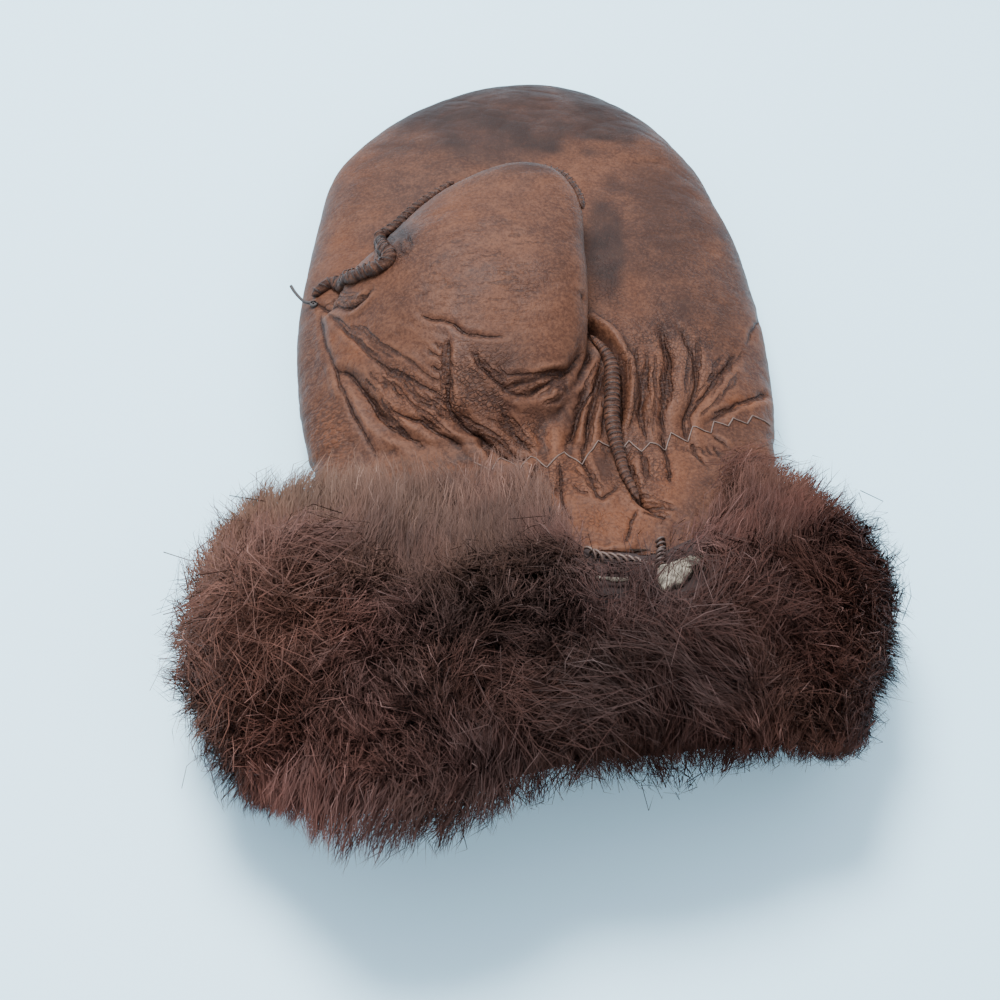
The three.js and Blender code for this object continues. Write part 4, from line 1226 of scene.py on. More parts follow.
def fur_y(along, angle):
    """The y of the pile's top, from its tips on the hand to those past the mouth."""
    thumb_side = smoothstep(-np.cos(angle), 0.2, 0.9)
    up_hand = FUR_UP_HAND * lerp(1, 1.22, thumb_side)
    start = up_hand * PILE * (1 - parting_at(angle)) - GAUNTLET_LENGTH + 3 * parting_at(angle)
    past = lerp(FUR_BELOW_MOUTH, FUR_PAST_MOUTH, (np.sin(angle) + 1) / 2) * PILE
    thumb_side = lerp(1, FUR_AT_THUMB_SIDE, smoothstep(-np.cos(angle), -0.1, 0.5))
    thumb_side = thumb_side * lerp(1, 0.72, smoothstep(-np.cos(angle), 0.72, 1))
    return lerp(start, MOUTH_Y - past * thumb_side, along)


def fur_depth(along, angle):
    """Depth of the fur as a share of the pile."""
    body = np.interp(along, FUR_DENSE[:, 0], FUR_DENSE[:, 1])
    top = smoothstep(np.sin(angle), 0.2, 0.9)
    right = smoothstep(np.cos(angle), 0.3, 1)
    parted = PARTING_DEPTH * parting_at(angle) * (1 - smoothstep(along, 0.15, 0.5))
    thumb_side = smoothstep(-np.cos(angle), 0.2, 0.9)
    body = body * (1 + 0.2 * thumb_side * (1 - smoothstep(along, 0.1, 0.5)))
    body = body * (1 + 0.16 * thumb_side * smoothstep(along, 0.15, 0.5))
    body = body * (1 - 0.36 * thumb_side * smoothstep(along, 0.6, 1.0))
    lumps = 1 + 0.09 * np.sin(5 * angle + 1) + 0.05 * np.sin(9 * angle + 6 * along)
    return body * lumps * lerp(1, TOP_FLATTEN, top) * lerp(1, RIGHT_FLATTEN, right) * (1 - parted)


def fur_point(along, angle, share=1.0, extra=0.0):
    """A point in the fur, at a share of its depth."""
    depth = (fur_depth(along, angle) * share + extra) * PILE
    return wrist_point(fur_y(along, angle), angle) + wrist_outward(angle) * depth[..., None]


def grid_quads(rows, columns):
    """Quads of a grid that closes on itself along its columns."""
    i, k = np.meshgrid(np.arange(rows - 1), np.arange(columns), indexing="ij")
    a, b = (i * columns + k).ravel(), (i * columns + (k + 1) % columns).ravel()
    return np.stack([a, b, b + columns, a + columns], axis=1)


@functools.cache
def fur_backing():
    """Points and quads of the dark underfur, with the strip's inside at the mouth."""
    around = np.linspace(0, 2 * math.pi, 160, endpoint=False)
    along = np.linspace(0.0, 1.0, 60)
    grid_along, grid_around = np.meshgrid(along, around, indexing="ij")
    body = fur_point(grid_along, grid_around, 0.62)
    parted = parting_at(grid_around)
    drawn_in = 0.2 * (1 - parted * (1 - smoothstep(grid_along, 0.1, 0.4)))
    body[..., 1] = lerp(body[..., 1], -GAUNTLET_LENGTH - CUFF_BAND / 2, drawn_in)
    body[..., 2] -= 1.6 * parted * (1 - smoothstep(grid_along, 0.02, 0.09))
    body += noise(body, 7, 3)[..., None] * np.array([0.7, 0.7, 0.7])
    body[..., 2] = np.maximum(body[..., 2], 0.3)
    inner = []
    for y in np.linspace(MOUTH_Y - 2, -GAUNTLET_LENGTH + 2, 8):
        ring = wrist_point(np.full(len(around), y), around) - wrist_outward(around) * MOUTH_LINING
        inner.append(ring)
    rings = np.concatenate([body, np.array(inner)])
    return rings.reshape(-1, 3), grid_quads(len(rings), len(around))[:, ::-1]


def add_fur_backing(settings):
    """The dark underfur that fills the gaps between the hairs."""
    points, quads = fur_backing()
    finish = plain_finish("underfur", settings.fur_root_colour, 0.95)
    backing = mesh_object("fur_backing", points, quads, finish)
    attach(backing, "root")
    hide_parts("fur_cuff")


def hair_curves(count, seed):
    """Nodes of hairs, their outward directions, and where along and round the cuff they end.

    Each hair is laid back from its tip. At the sides it points away from the band, and in the
    middle of the pile it swirls and lies over its neighbours."""
    draw = np.random.default_rng(seed)
    along = draw.random(count) ** 0.92
    angle = draw.random(count) * 2 * math.pi
    under = smoothstep(-np.sin(angle), 0.3, 0.8)
    keep = draw.random(count) > THINNED_UNDER * under
    parted = parting_at(angle) * (1 - smoothstep(along, 0.03, 0.16))
    keep &= draw.random(count) > THINNED_AT_PARTING * parted
    along, angle = along[keep], angle[keep]
    count = len(along)
    root_y = lerp(-GAUNTLET_LENGTH - 1, MOUTH_Y + 1, along)
    root = wrist_point(root_y, angle)
    out = wrist_outward(angle)
    below = 1 - smoothstep(-np.sin(angle), 0.1, 0.6)
    extra = -0.02 + 0.15 * np.minimum(np.abs(draw.normal(0, 1, count)), 2.2) * below
    tip = fur_point(np.clip(along + draw.normal(0, 0.03, count), 0, 1), angle, 1.0, extra)
    natural = tip - root
    length = np.linalg.norm(natural, axis=1)
    natural /= length[:, None]
    at_hand = 1 - smoothstep(along, 0.1, 0.3)
    ragged = at_hand * draw.uniform(-9, 4, count) + (1 - at_hand) * draw.normal(0, 1.0, count)
    lumps = 1.7 * noise(tip, 13, 31) + 1.1 * noise(tip, 6, 32)
    tip = tip + natural * (ragged + lumps)[:, None]
    tufts = draw.choice(count, count // TUFT_HAIRS, replace=False)
    tree = kdtree.KDTree(len(tufts))
    for number, place in enumerate(tip[tufts].tolist()):
        tree.insert(place, number)
    tree.balance()
    nearest = np.array([tree.find(place)[1] for place in tip.tolist()])
    tip += (tip[tufts[nearest]] - tip) * draw.uniform(*TUFT_PULL, count)[:, None]
    felted = smoothstep(along, 0.14, 0.5) * (1 - smoothstep(along, 0.82, 1.0))
    felted *= smoothstep(np.sin(angle), -0.2, 0.35)
    swirl = sum(share * vector_noise(tip, size, seed) for size, seed, share in SWIRLS)
    way = natural + swirl * lerp(*SWIRL_STRENGTH, felted)[:, None]
    way += draw.normal(0, 1, (count, 3)) * lerp(*SCATTER, felted)[:, None]
    way -= out * ((way * out).sum(axis=1) * LAID_FLAT * felted)[:, None]
    way = unit(way)
    reach = np.clip(length * HAIR_SHOWN, HAIR_LEAST, HAIR_MOST) * draw.uniform(0.6, 1.15, count)
    start = tip - way * reach[:, None] - out * (felted * draw.uniform(0.5, 3.0, count))[:, None]
    bow = draw.normal(0, 1, (count, 3)) * (0.11 * reach)[:, None] + out * BOW_OUT
    along_hair = [lerp(start, tip, share) + bow * (4 * share * (1 - share)) for share in HAIR_NODES]
    nodes = np.stack(along_hair, axis=1)
    nodes[..., 2] = np.maximum(nodes[..., 2], 0.15 + 0.5 * draw.random((count, 1)))
    over = np.maximum(nodes[..., 2] - PILE_TOP, 0)
    nodes[..., 2] -= over - PILE_GIVE * (1 - np.exp(-over / PILE_GIVE))
    place = picture_of(nodes)
    bare = np.zeros(count, bool)
    for x, y, half_x, half_y in BARE_SPOTS:
        far = np.hypot((place[..., 0] - x) / half_x, (place[..., 1] - y) / half_y).min(axis=1)
        bare |= (far < draw.uniform(0.75, 1.2, count)) & (np.sin(angle) > 0)
    kept = ~bare
    return nodes[kept], out[kept], along[kept], angle[kept], draw


def hair_tints(settings, nodes, along, draw):
    """Colour of each hair at its nodes: dark at the root and lighter, often frosty, at the tip."""
    tip = nodes[:, -1]
    # frosted in front from the left to the middle, at the left end, and a little at the right
    frost = 0.85 * (1 - smoothstep(tip[:, 0], -35, 40)) * (1 - smoothstep(along, 0.12, 0.72))
    frost += 0.75 * (1 - smoothstep(tip[:, 0], -88, -50))
    frost += 0.3 * smoothstep(tip[:, 0], 25, 60) * (1 - smoothstep(along, 0.1, 0.35))
    frost = np.clip(frost + 0.3 * noise(tip, 12, 51), 0, 1)
    warm = np.clip(0.45 + 0.6 * noise(tip, 15, 52), 0, 1)
    shade = np.clip(0.5 + 0.5 * noise(tip, 9, 53) + 0.4 * noise(tip, 3, 54), 0, 1)
    mid = lerp(
        np.array(settings.fur_mid_colour[:3]), np.array(settings.fur_warm_colour[:3]), warm[:, None]
    )
    end = lerp(mid, np.array(settings.fur_tip_colour[:3]), (0.15 + 0.85 * frost)[:, None])
    end = end * lerp(0.7, 1.25, shade)[:, None]
    # painted shade: darker past the front from the middle to the right; painted light: lighter at
    # the left
    darker = 0.62 * smoothstep(tip[:, 0], -50, -12) - 0.12 * smoothstep(tip[:, 0], 20, 50)
    end = end * (1 - darker * smoothstep(along + 0.06 * noise(tip, 9, 55), 0.12, 0.5))[:, None]
    lighter = 0.5 * (1 - smoothstep(tip[:, 0], -75, -38)) * smoothstep(along, 0.1, 0.35)
    end = end * (1 + lighter)[:, None]
    pale = draw.random(len(tip)) < PALE_HAIRS
    end[pale] = end[pale] * 1.8 + 0.03
    end *= draw.uniform(*HAIR_SHADES, len(tip))[:, None]
    root = np.array(settings.fur_root_colour[:3])
    colors = np.stack([lerp(root, end, share) for share in TINT_SHARES], axis=1)
    return np.clip(colors, 0, 1)


def add_fur(settings):
    """Thin strips of hair, in four pieces."""
    finish = hair_finish()
    nodes, out, along, angle, draw = hair_curves(settings.hair_count, 5)
    colors = hair_tints(settings, nodes, along, draw)
    count = len(nodes)
    run = unit(nodes[:, -1] - nodes[:, 0])
    side = unit(np.cross(run, draw.normal(0, 1, (count, 3))))
    face = np.cross(side, run)
    turned = (face * out).sum(axis=1) < 0
    side[turned] *= -1
    face[turned] *= -1
    width = settings.hair_width / 2 * draw.uniform(0.6, 1.4, count)
    low, high = (side * (width * share)[:, None] for share in HAIR_WIDTHS)
    first, second, last = nodes.transpose(1, 0, 2)
    points = np.stack([first - low, first + low, second - high, second + high, last], axis=1)
    tints = colors[:, [0, 0, 1, 1, 2]]
    soft = unit(face * 0.35 + out * 0.9)
    turn = np.degrees(angle) % 360
    for name, (low_turn, high_turn) in FUR_PIECES.items():
        chosen = np.flatnonzero((turn >= low_turn) & (turn < high_turn))
        base = np.arange(len(chosen))[:, None] * 5
        quads, tips = base + [0, 1, 3, 2], base + [2, 3, 4]
        tint = np.concatenate([tints[chosen], np.ones((len(chosen), 5, 1))], axis=2).reshape(-1, 4)
        normals = np.repeat(soft[chosen], 5, axis=0)
        piece = mesh_object(
            f"fur_{name}",
            points[chosen].reshape(-1, 3),
            [quads, tips],
            finish,
            {"hair": tint},
            normals,
        )
        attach(piece, "root")
        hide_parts("fur_cuff")


def hair_finish():
    """Dull hair, coloured by its own attribute."""
    made = Finish("fur_hair")
    made.set(Base_Color=made.painted("hair", True), Roughness=0.6)
    made.set(Specular_IOR_Level=0.12)
    return made.material


# Overcast seams: mm between stitches of the longest, how low a ridge is for its width, how many
# sides its section has, and how far its ends are rounded in mm
STITCH_PITCH = 1.9
SEAM_FLAT = 0.72
ROPE_SIDES = 20
ROPE_END = 1.5
# Threads: usual radius in mm, sides of the section, and the angle at which a stitch's arch starts
THREAD_RADIUS = 0.17
THREAD_SIDES = 6
ARCH_START = 0.05
# Radii in mm of the threads in the overcast seams, the elastic, the loose end and the whipped seam
SEAM_THREAD, ELASTIC_THREAD, LOOSE_THREAD, WHIP_THREAD = 0.06, 0.18, 0.42, 0.38
# Radii of the three ridges along their length in mm, the places in the picture that two of them
# pass, how far a stitch leans along the seam as a share of the pitch, the pitch in mm, the depth of
# the bulges between two stitches as a share of the radius, and how dark the ridge's leather is
SEAM_RADII = {
    "palm": [1.3, 1.9, 2.0, 2.0, 1.9, 1.7, 1.5, 1.5, 1.4, 1.2, 0.9],
    "wrist": [0.6, 1.2, 1.7, 1.8, 1.8, 1.7, 1.5, 1.25, 1.0, 0.7],
    "tip": [1.0, 1.2, 1.2, 1.1, 0.8],
}
SEAM_RUNS = {
    "palm": [
        (312, 299), (321, 292), (335, 285), (351, 280), (364, 275), (377, 270), (387, 264),
        (389, 256), (383, 249), (380, 241), (386, 235), (396, 228), (407, 218), (417, 209),
        (428, 201), (440, 193), (454, 184),
    ],
    "wrist": [
        (590, 338), (603, 352), (611, 368), (612, 396), (612, 421), (615, 440), (619, 457),
        (624, 474), (631, 489), (638, 502),
    ],
}
SEAM_LEANS = {"palm": -0.5, "wrist": -0.12, "tip": -0.3}
SEAM_PITCHES = {"palm": STITCH_PITCH, "wrist": 1.6, "tip": 1.6}
SEAM_SWELLS = {"palm": 0.12, "wrist": 0.06, "tip": 0.11}
SEAM_DIRT = {"palm": 0.75, "wrist": 0.6, "tip": 0.75}
# Small things by their places in the picture: the short whipped seam above the skin edge, the
# rolled edge left of it, the loose thread with its knot, and the bare skin
WHIPPED_SEAM = [(660, 541), (661, 548), (661, 557), (660, 566)]
ROLLED_EDGE = [(588, 556), (602, 560), (618, 562), (634, 565), (650, 571), (657, 578)]
THREAD_TAIL = [(291, 286), (294, 291), (299, 297), (305, 302), (312, 303)]
THREAD_KNOT = [(311, 304), (314, 302), (316, 304), (314, 306), (311, 305), (313, 302), (317, 304)]
SKIN_PATCH = [
    (656, 574), (663, 569), (674, 566), (685, 561), (697, 559), (709, 561), (706, 568), (695, 572),
    (689, 578), (683, 586), (674, 590), (665, 593), (660, 589), (657, 583),
]
# The flap's rings: share of the outline, and height in mm. Then the thin line's sides and radius.
FLAP_RINGS = ((1.0, -0.5), (1.02, 0.6), (0.97, 1.4), (0.7, 1.8), (0.4, 2.0), (0.12, 2.0))
SKIN_STRIP = [(583, 584), (598, 585), (617, 586), (634, 586)]
STRIP_SIDES, STRIP_RADIUS = 10, 0.62
# Places in the picture that the fur leaves bare: middle and half sizes
BARE_SPOTS = [(684, 576, 35, 15), (608, 585, 35, 8), (661, 546, 8, 20), (618, 550, 42, 11)]


def smooth_thumb_point(t, angle):
    """A point on the smooth thumb: its section t at an angle round it."""
    left, right, rim_left, rim_right, top, low = catmull_rom(THUMB_SECTIONS, t)[..., 1:].T
    along = catmull_rom(THUMB_SECTIONS, t)[..., 0]
    to_right = (math.cos(angle) + 1) / 2
    rise = powered(math.sin(angle), lerp(THUMB_SOFT_FLANK, THUMB_ROLLED_FLANK, to_right))
    share, rim = lerp(left, right, to_right), lerp(rim_left, rim_right, to_right)
    middle = (rim_left + rim_right) / 2
    height = rim + rise * np.where(rise > 0, top - middle, middle - low)
    return np.stack(
        [
            THUMB_X + share * THUMB_WIDTH / 2,
            along * THUMB_LENGTH,
            HAND_THICKNESS + height * THUMB_RISE,
        ],
        axis=-1,
    )


@functools.cache
def leather_tree():
    """The upward points of the creased leather, for finding the nearest."""
    surface = leather_surface()
    facing = np.flatnonzero(surface["normals"][:, 2] > 0.1)
    tree = kdtree.KDTree(len(facing))
    for number, (x, y, _) in enumerate(surface["points"][facing]):
        tree.insert((x, y, 0), number)
    tree.balance()
    return tree, surface["points"][facing], surface["normals"][facing]


def on_leather(places, lift=0.0):
    """Points on the creased leather over places in the ground plane, with its normals."""
    tree, points, normals = leather_tree()
    found, facing = [], []
    for x, y in np.asarray(places)[:, :2]:
        near = [number for _, number, _ in tree.find_n((x, y, 0), 5)]
        top = points[near, 2].max()
        chosen = [number for number in near if points[number, 2] > top - 0.8]
        normal = unit(normals[chosen].mean(axis=0))
        found.append(np.array([x, y, points[chosen, 2].mean()]) + normal * lift)
        facing.append(normal)
    return np.array(found), np.array(facing)


def frames_along(path, ups):
    """Directions along, across and up at each point of a path."""
    tangent = unit(np.gradient(path, axis=0))
    side = unit(np.cross(tangent, ups))
    return tangent, side, np.cross(side, tangent)


def rope(name, path, ups, finish, seed):
    """A ridge of bulges that lean along the seam, one between each two stitches."""
    radii, lean, pitch = SEAM_RADII[name], SEAM_LEANS[name], SEAM_PITCHES[name]
    tangent, side, up = frames_along(path, ups)
    sides = ROPE_SIDES
    turn = np.linspace(0, 2 * math.pi, sides, endpoint=False)
    gaps = np.linalg.norm(np.diff(path, axis=0), axis=1)
    run = np.concatenate([[0], np.cumsum(gaps)])
    share = run / run[-1]
    radius = np.interp(share, np.linspace(0, 1, len(radii)), radii)
    radius *= np.sqrt(np.clip(np.minimum(run, run[-1] - run) / ROPE_END, 0.02, 1))
    wander = 0.6 * np.sin(run * 0.7 + seed) + 0.42 * np.sin(run * 1.9 + 2 * seed)
    leaning = lean + 0.22 * np.sin(run * 0.9 + 3 * seed)
    phase = (run + wander)[:, None] / pitch + leaning[:, None] * np.cos(turn)[None]
    bulge = np.abs(np.sin(math.pi * phase)) ** 0.4
    swell = SEAM_SWELLS[name]
    size = radius[:, None] * (1.01 - swell + swell * bulge)
    size = size * (1 + 0.06 * np.sin(3.1 * phase + seed))
    points = path[:, None] + side[:, None] * (size * np.cos(turn))[..., None]
    points = points + up[:, None] * (size * np.sin(turn) * SEAM_FLAT)[..., None]
    points = points.reshape(-1, 3)
    points += 0.08 * noise(points, 1.3, seed)[:, None] * np.repeat(up, sides, axis=0)
    quads = grid_quads(len(path), sides)[:, ::-1]
    first, last = np.arange(sides), np.arange(sides) + (len(path) - 1) * sides
    count = len(points)
    points = np.concatenate([points, path[[0]], path[[-1]]])
    fans = np.stack([first, np.roll(first, -1), np.full(sides, count)], axis=1)
    ends = np.stack([np.roll(last, -1), last, np.full(sides, count + 1)], axis=1)
    # painted shade between the bulges and a painted highlight on their tops, through the cavity
    # value
    cavity = np.concatenate([(0.85 - 1.5 * bulge**2).ravel(), [1, 1]])
    values = {key: np.zeros(count + 2) for key in ("lines", "side", "crease_mask", "warm")}
    values |= {
        "cavity": np.clip(cavity, -1, 1),
        "dirt_and_shade": np.full(count + 2, SEAM_DIRT[name]),
        "crazed": np.full(count + 2, 0.5),
        "crease": np.full(count + 2, FAR_CREASE),
    }
    node = "thumb_tip" if name == "tip" else name
    seam = mesh_object(f"{node}_ridge", points, [quads, fans, ends], finish, values)
    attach(seam, "root")
    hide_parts(f"{node}_seam")
    return path, up, radius


def seam_path(line, lift):
    """A seam's path over the smooth leather."""
    flat = smooth_path(line, 0.32)
    heights = height_at(flat[:, 0], flat[:, 1])
    window = np.ones(9) / 9
    heights = np.convolve(np.pad(heights, 4, mode="edge"), window, mode="valid")
    path = np.concatenate([flat, heights[:, None]], axis=1)
    ups = np.tile([0.0, -0.15, 1.0], (len(path), 1))
    path[:, 2] += lift
    return path, ups


def wire_object(name, runs, sizes):
    """Open lines as a mesh of edges, with an up direction and a size at each point."""
    mesh = bpy.data.meshes.new(name)
    points, edges, ups, scale = [], [], [], []
    for (path, up), size in zip(runs, sizes):
        edges += [(len(points) + k, len(points) + k + 1) for k in range(len(path) - 1)]
        points += list(placed(path))
        ups += list(np.asarray(up))
        scale += list(np.broadcast_to(size, len(path)))
    mesh.from_pydata([tuple(point) for point in points], edges, [])
    attribute = mesh.attributes.new("up", "FLOAT_VECTOR", "POINT")
    attribute.data.foreach_set("vector", np.array(ups, np.float32).ravel())
    attribute = mesh.attributes.new("size", "FLOAT", "POINT")
    attribute.data.foreach_set("value", np.array(scale, np.float32))
    return linked(name, mesh)


class Tree:
    """A geometry node tree under construction."""

    def __init__(self, name, inputs):
        self.tree = bpy.data.node_groups.new(name, "GeometryNodeTree")
        face = self.tree.interface
        face.new_socket("Geometry", in_out="INPUT", socket_type="NodeSocketGeometry")
        self.sockets = {}
        for label, (kind, value) in inputs.items():
            socket = face.new_socket(label, in_out="INPUT", socket_type=kind)
            if value is not None:
                socket.default_value = value
            self.sockets[label] = socket.identifier
        face.new_socket("Geometry", in_out="OUTPUT", socket_type="NodeSocketGeometry")
        self.given = self.tree.nodes.new("NodeGroupInput").outputs
        self.result = self.tree.nodes.new("NodeGroupOutput").inputs[0]

    def add(self, kind, inputs=None, **facts):
        """A new node with links or values for its inputs."""
        node = self.tree.nodes.new(kind)
        for key, value in facts.items():
            setattr(node, key, value)
        for key, source in (inputs or {}).items():
            socket = node.inputs[key]
            if hasattr(source, "is_output"):
                self.tree.links.new(source, socket)
            else:
                socket.default_value = source
        return node

    def tube(self, curve, sides):
        """Thread of the given radius along a curve."""
        ring = self.add(
            "GeometryNodeCurvePrimitiveCircle",
            {"Resolution": sides, "Radius": self.given["Thread radius"]},
        ).outputs[0]
        return self.add(
            "GeometryNodeCurveToMesh", {"Curve": curve, "Profile Curve": ring, "Fill Caps": True}
        ).outputs[0]

    def returned(self, geometry):
        """The tree, with the geometry in the given material as its result."""
        solid = self.add("GeometryNodeRealizeInstances", {"Geometry": geometry}).outputs[0]
        smooth = self.add("GeometryNodeSetShadeSmooth", {"Geometry": solid}).outputs[0]
        last = self.add(
            "GeometryNodeSetMaterial", {"Geometry": smooth, "Material": self.given["Material"]}
        )
        self.tree.links.new(last.outputs[0], self.result)
        return self

    def named(self, name, kind):
        """A value stored on the lines."""
        stored = self.add("GeometryNodeInputNamedAttribute", {"Name": name}, data_type=kind)
        return stored.outputs[0]


def thread_tree():
    """Thread that follows lines."""
    made = Tree(
        "thread_run",
        {
            "Thread radius": ("NodeSocketFloat", THREAD_RADIUS * MM),
            "Sides": ("NodeSocketInt", THREAD_SIDES),
            "Material": ("NodeSocketMaterial", None),
        },
    )
    curve = made.add("GeometryNodeMeshToCurve", {"Mesh": made.given["Geometry"]}).outputs[0]
    return made.returned(made.tube(curve, made.given["Sides"]))


def stitch_tree():
    """Stitches that bridge a seam: an arch of thread at even steps along its line."""
    made = Tree(
        "stitch_row",
        {
            "Pitch": ("NodeSocketFloat", STITCH_PITCH * MM),
            "Thread radius": ("NodeSocketFloat", THREAD_RADIUS * MM),
            "Lean": ("NodeSocketFloat", 0.5),
            "Unevenness": ("NodeSocketFloat", 0.15),
            "Seed": ("NodeSocketInt", 4),
            "Material": ("NodeSocketMaterial", None),
        },
    )
    curve = made.add("GeometryNodeMeshToCurve", {"Mesh": made.given["Geometry"]}).outputs[0]
    spaced = made.add(
        "GeometryNodeCurveToPoints", {"Curve": curve, "Length": made.given["Pitch"]}, mode="LENGTH"
    )
    arch = made.add(
        "GeometryNodeCurveArc",
        {
            "Resolution": 9,
            "Radius": MM,
            "Start Angle": ARCH_START,
            "Sweep Angle": math.pi - 2 * ARCH_START,
        },
    ).outputs[0]
    stand = made.add(
        "GeometryNodeTransform",
        {"Geometry": arch, "Rotation": (math.pi / 2, 0, math.pi / 2), "Scale": (1, 1, 1)},
    ).outputs[0]
    thread = made.tube(stand, THREAD_SIDES)
    forward = made.add(
        "FunctionNodeAlignRotationToVector", {"Vector": spaced.outputs["Tangent"]}, axis="X"
    ).outputs[0]
    upright = made.add(
        "FunctionNodeAlignRotationToVector",
        {"Rotation": forward, "Vector": made.named("up", "FLOAT_VECTOR")},
        axis="Z",
        pivot_axis="X",
    ).outputs[0]
    uneven = made.add(
        "FunctionNodeRandomValue", {"Seed": made.given["Seed"]}, data_type="FLOAT"
    )
    spread = made.add(
        "ShaderNodeMath", {0: uneven.outputs[1], 1: made.given["Unevenness"]}, operation="MULTIPLY"
    ).outputs[0]
    turn = made.add(
        "ShaderNodeMath", {0: spread, 1: made.given["Lean"]}, operation="ADD"
    ).outputs[0]
    lean = made.add("ShaderNodeCombineXYZ", {"Z": turn}).outputs[0]
    leaning = made.add(
        "FunctionNodeRotateRotation",
        {"Rotation": upright, "Rotate By": lean},
        rotation_space="LOCAL",
    ).outputs[0]
    placed_stitches = made.add(
        "GeometryNodeInstanceOnPoints",
        {
            "Points": spaced.outputs["Points"],
            "Instance": thread,
            "Rotation": leaning,
            "Scale": made.named("size", "FLOAT"),
        },
    ).outputs[0]
    return made.returned(placed_stitches)


def grown(name, wires, tree, material, slot, **inputs):
    """The plain mesh that a node tree grows on lines."""
    modifier = wires.modifiers.new(tree.tree.name, "NODES")
    modifier.node_group = tree.tree
    modifier[tree.sockets["Material"]] = material
    for label, value in inputs.items():
        modifier[tree.sockets[label.replace("_", " ")]] = value
    wires.update_tag()
    graph = bpy.context.evaluated_depsgraph_get()
    mesh = bpy.data.meshes.new_from_object(wires.evaluated_get(graph))
    mesh.name = name
    wires.modifiers.clear()
    bpy.data.objects.remove(wires)
    if not len(mesh.polygons):
        raise RuntimeError(f"{name} grew no faces")
    made = linked(name, mesh)
    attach(made, "root")
    return made


def add_seams(settings):
    """The three overcast ridges with their stitches."""
    finish = bpy.data.materials["worn_leather_painted_shade"]
    thread = plain_finish("dark_thread", settings.seam_thread_colour, 0.6, 1200, 0.05)
    tip = smooth_path(smooth_thumb_point(np.linspace(9, 5.4, 70), 0.12)[::6], 0.32)
    tip_ups = np.tile([0.75, 0.1, 0.65], (len(tip), 1))
    lines = {name: seam_path(seen(run)[:, :2], 0.8) for name, run in SEAM_RUNS.items()}
    lines["tip"] = (tip + tip_ups * 0.5, tip_ups)
    for seed, (name, (path, ups)) in enumerate(lines.items()):
        path, up, radius = rope(name, path, ups, finish, seed + 1)
        wires = wire_object(f"{name}_line", [(path, up)], [radius * 0.99])
        grown(
            f"{name}_stitches",
            wires,
            stitch_tree(),
            thread,
            "seam_leather",
            Lean=-SEAM_LEANS[name] * 0.8,
            Pitch=SEAM_PITCHES[name] * MM,
            Thread_radius=SEAM_THREAD * MM,
        )


def add_threads(settings):
    """The zigzag over the elastic, the loose thread and the two small stitched runs."""
    pale = plain_finish("pale_thread", settings.thread_colour, 0.6, 1500, 0.05)
    corners = seen(ZIGZAG)[:, :2]
    legs = []
    for start, end in zip(corners[:-1], corners[1:]):
        share = np.linspace(0, 1, 7)[:-1, None]
        legs.append(lerp(start, end, share))
    flat = np.concatenate([*legs, corners[-1:]])
    path, up = on_leather(flat, 0.12)
    wires = wire_object("elastic_line", [(path, up)], [1.0])
    tree = thread_tree()
    grown("elastic_zigzag", wires, tree, pale, "seam_leather", Thread_radius=ELASTIC_THREAD * MM)
    tails = []
    height = seen(THREAD_TAIL[-1:])[0, 2] + 1.2
    for run in (THREAD_TAIL, THREAD_KNOT):
        tail = smooth_path(seen(run, height), 0.5)
        tails.append((tail, np.tile([0.0, 0.0, 1.0], (len(tail), 1))))
    wires = wire_object("tail_lines", tails, [1.0, 1.0])
    dark = plain_finish("loose_thread", settings.loose_thread_colour, 0.8, 1500, 0.05)
    grown("loose_thread", wires, tree, dark, "seam_leather", Thread_radius=LOOSE_THREAD * MM)
    whipped, rolled = (
        resting(smooth_path(np.array(run, float), 1.6), 0.0) for run in (WHIPPED_SEAM, ROLLED_EDGE)
    )
    wires = wire_object("whip_lines", [whipped], [0.9])
    whip = plain_finish("whip_thread", settings.whip_thread_colour, 0.6, 1500, 0.05)
    grown(
        "whip_stitches",
        wires,
        stitch_tree(),
        whip,
        "seam_leather",
        Lean=0.35,
        Pitch=1.2 * MM,
        Thread_radius=WHIP_THREAD * MM,
    )
    wires = wire_object("edge_lines", [rolled], [1.8])
    grown("edge_stitches", wires, stitch_tree(), pale, "seam_leather", Lean=0.9, Pitch=1.6 * MM)


@functools.cache
def body_tree():
    """The leather's upper side and the underfur, for resting small things on."""
    surface = leather_surface()
    points, quads = fur_backing()
    near = surface["flat"][surface["quads"]].max(axis=1) < 25
    near &= surface["flat"][surface["quads"]].min(axis=1) > -GAUNTLET_LENGTH - 1
    faces = np.concatenate([surface["quads"][near], quads + len(surface["points"])])
    both = np.concatenate([surface["points"], points])
    return bvhtree.BVHTree.FromPolygons(both.tolist(), faces.tolist())


def resting(pixels, lift):
    """Points on the leather or the underfur at places in the picture, with its normals."""
    found, facing = [], []
    for place in seen(pixels):
        hit, normal = body_tree().ray_cast(Vector(CAMERA_EYE), Vector(place - CAMERA_EYE))[:2]
        if hit is None:
            hit, normal = Vector(place), Vector((0, 0, 1))
        if normal.z < 0:
            normal.negate()
        found.append(hit + normal * lift)
        facing.append(normal)
    return np.array(found), np.array(facing)


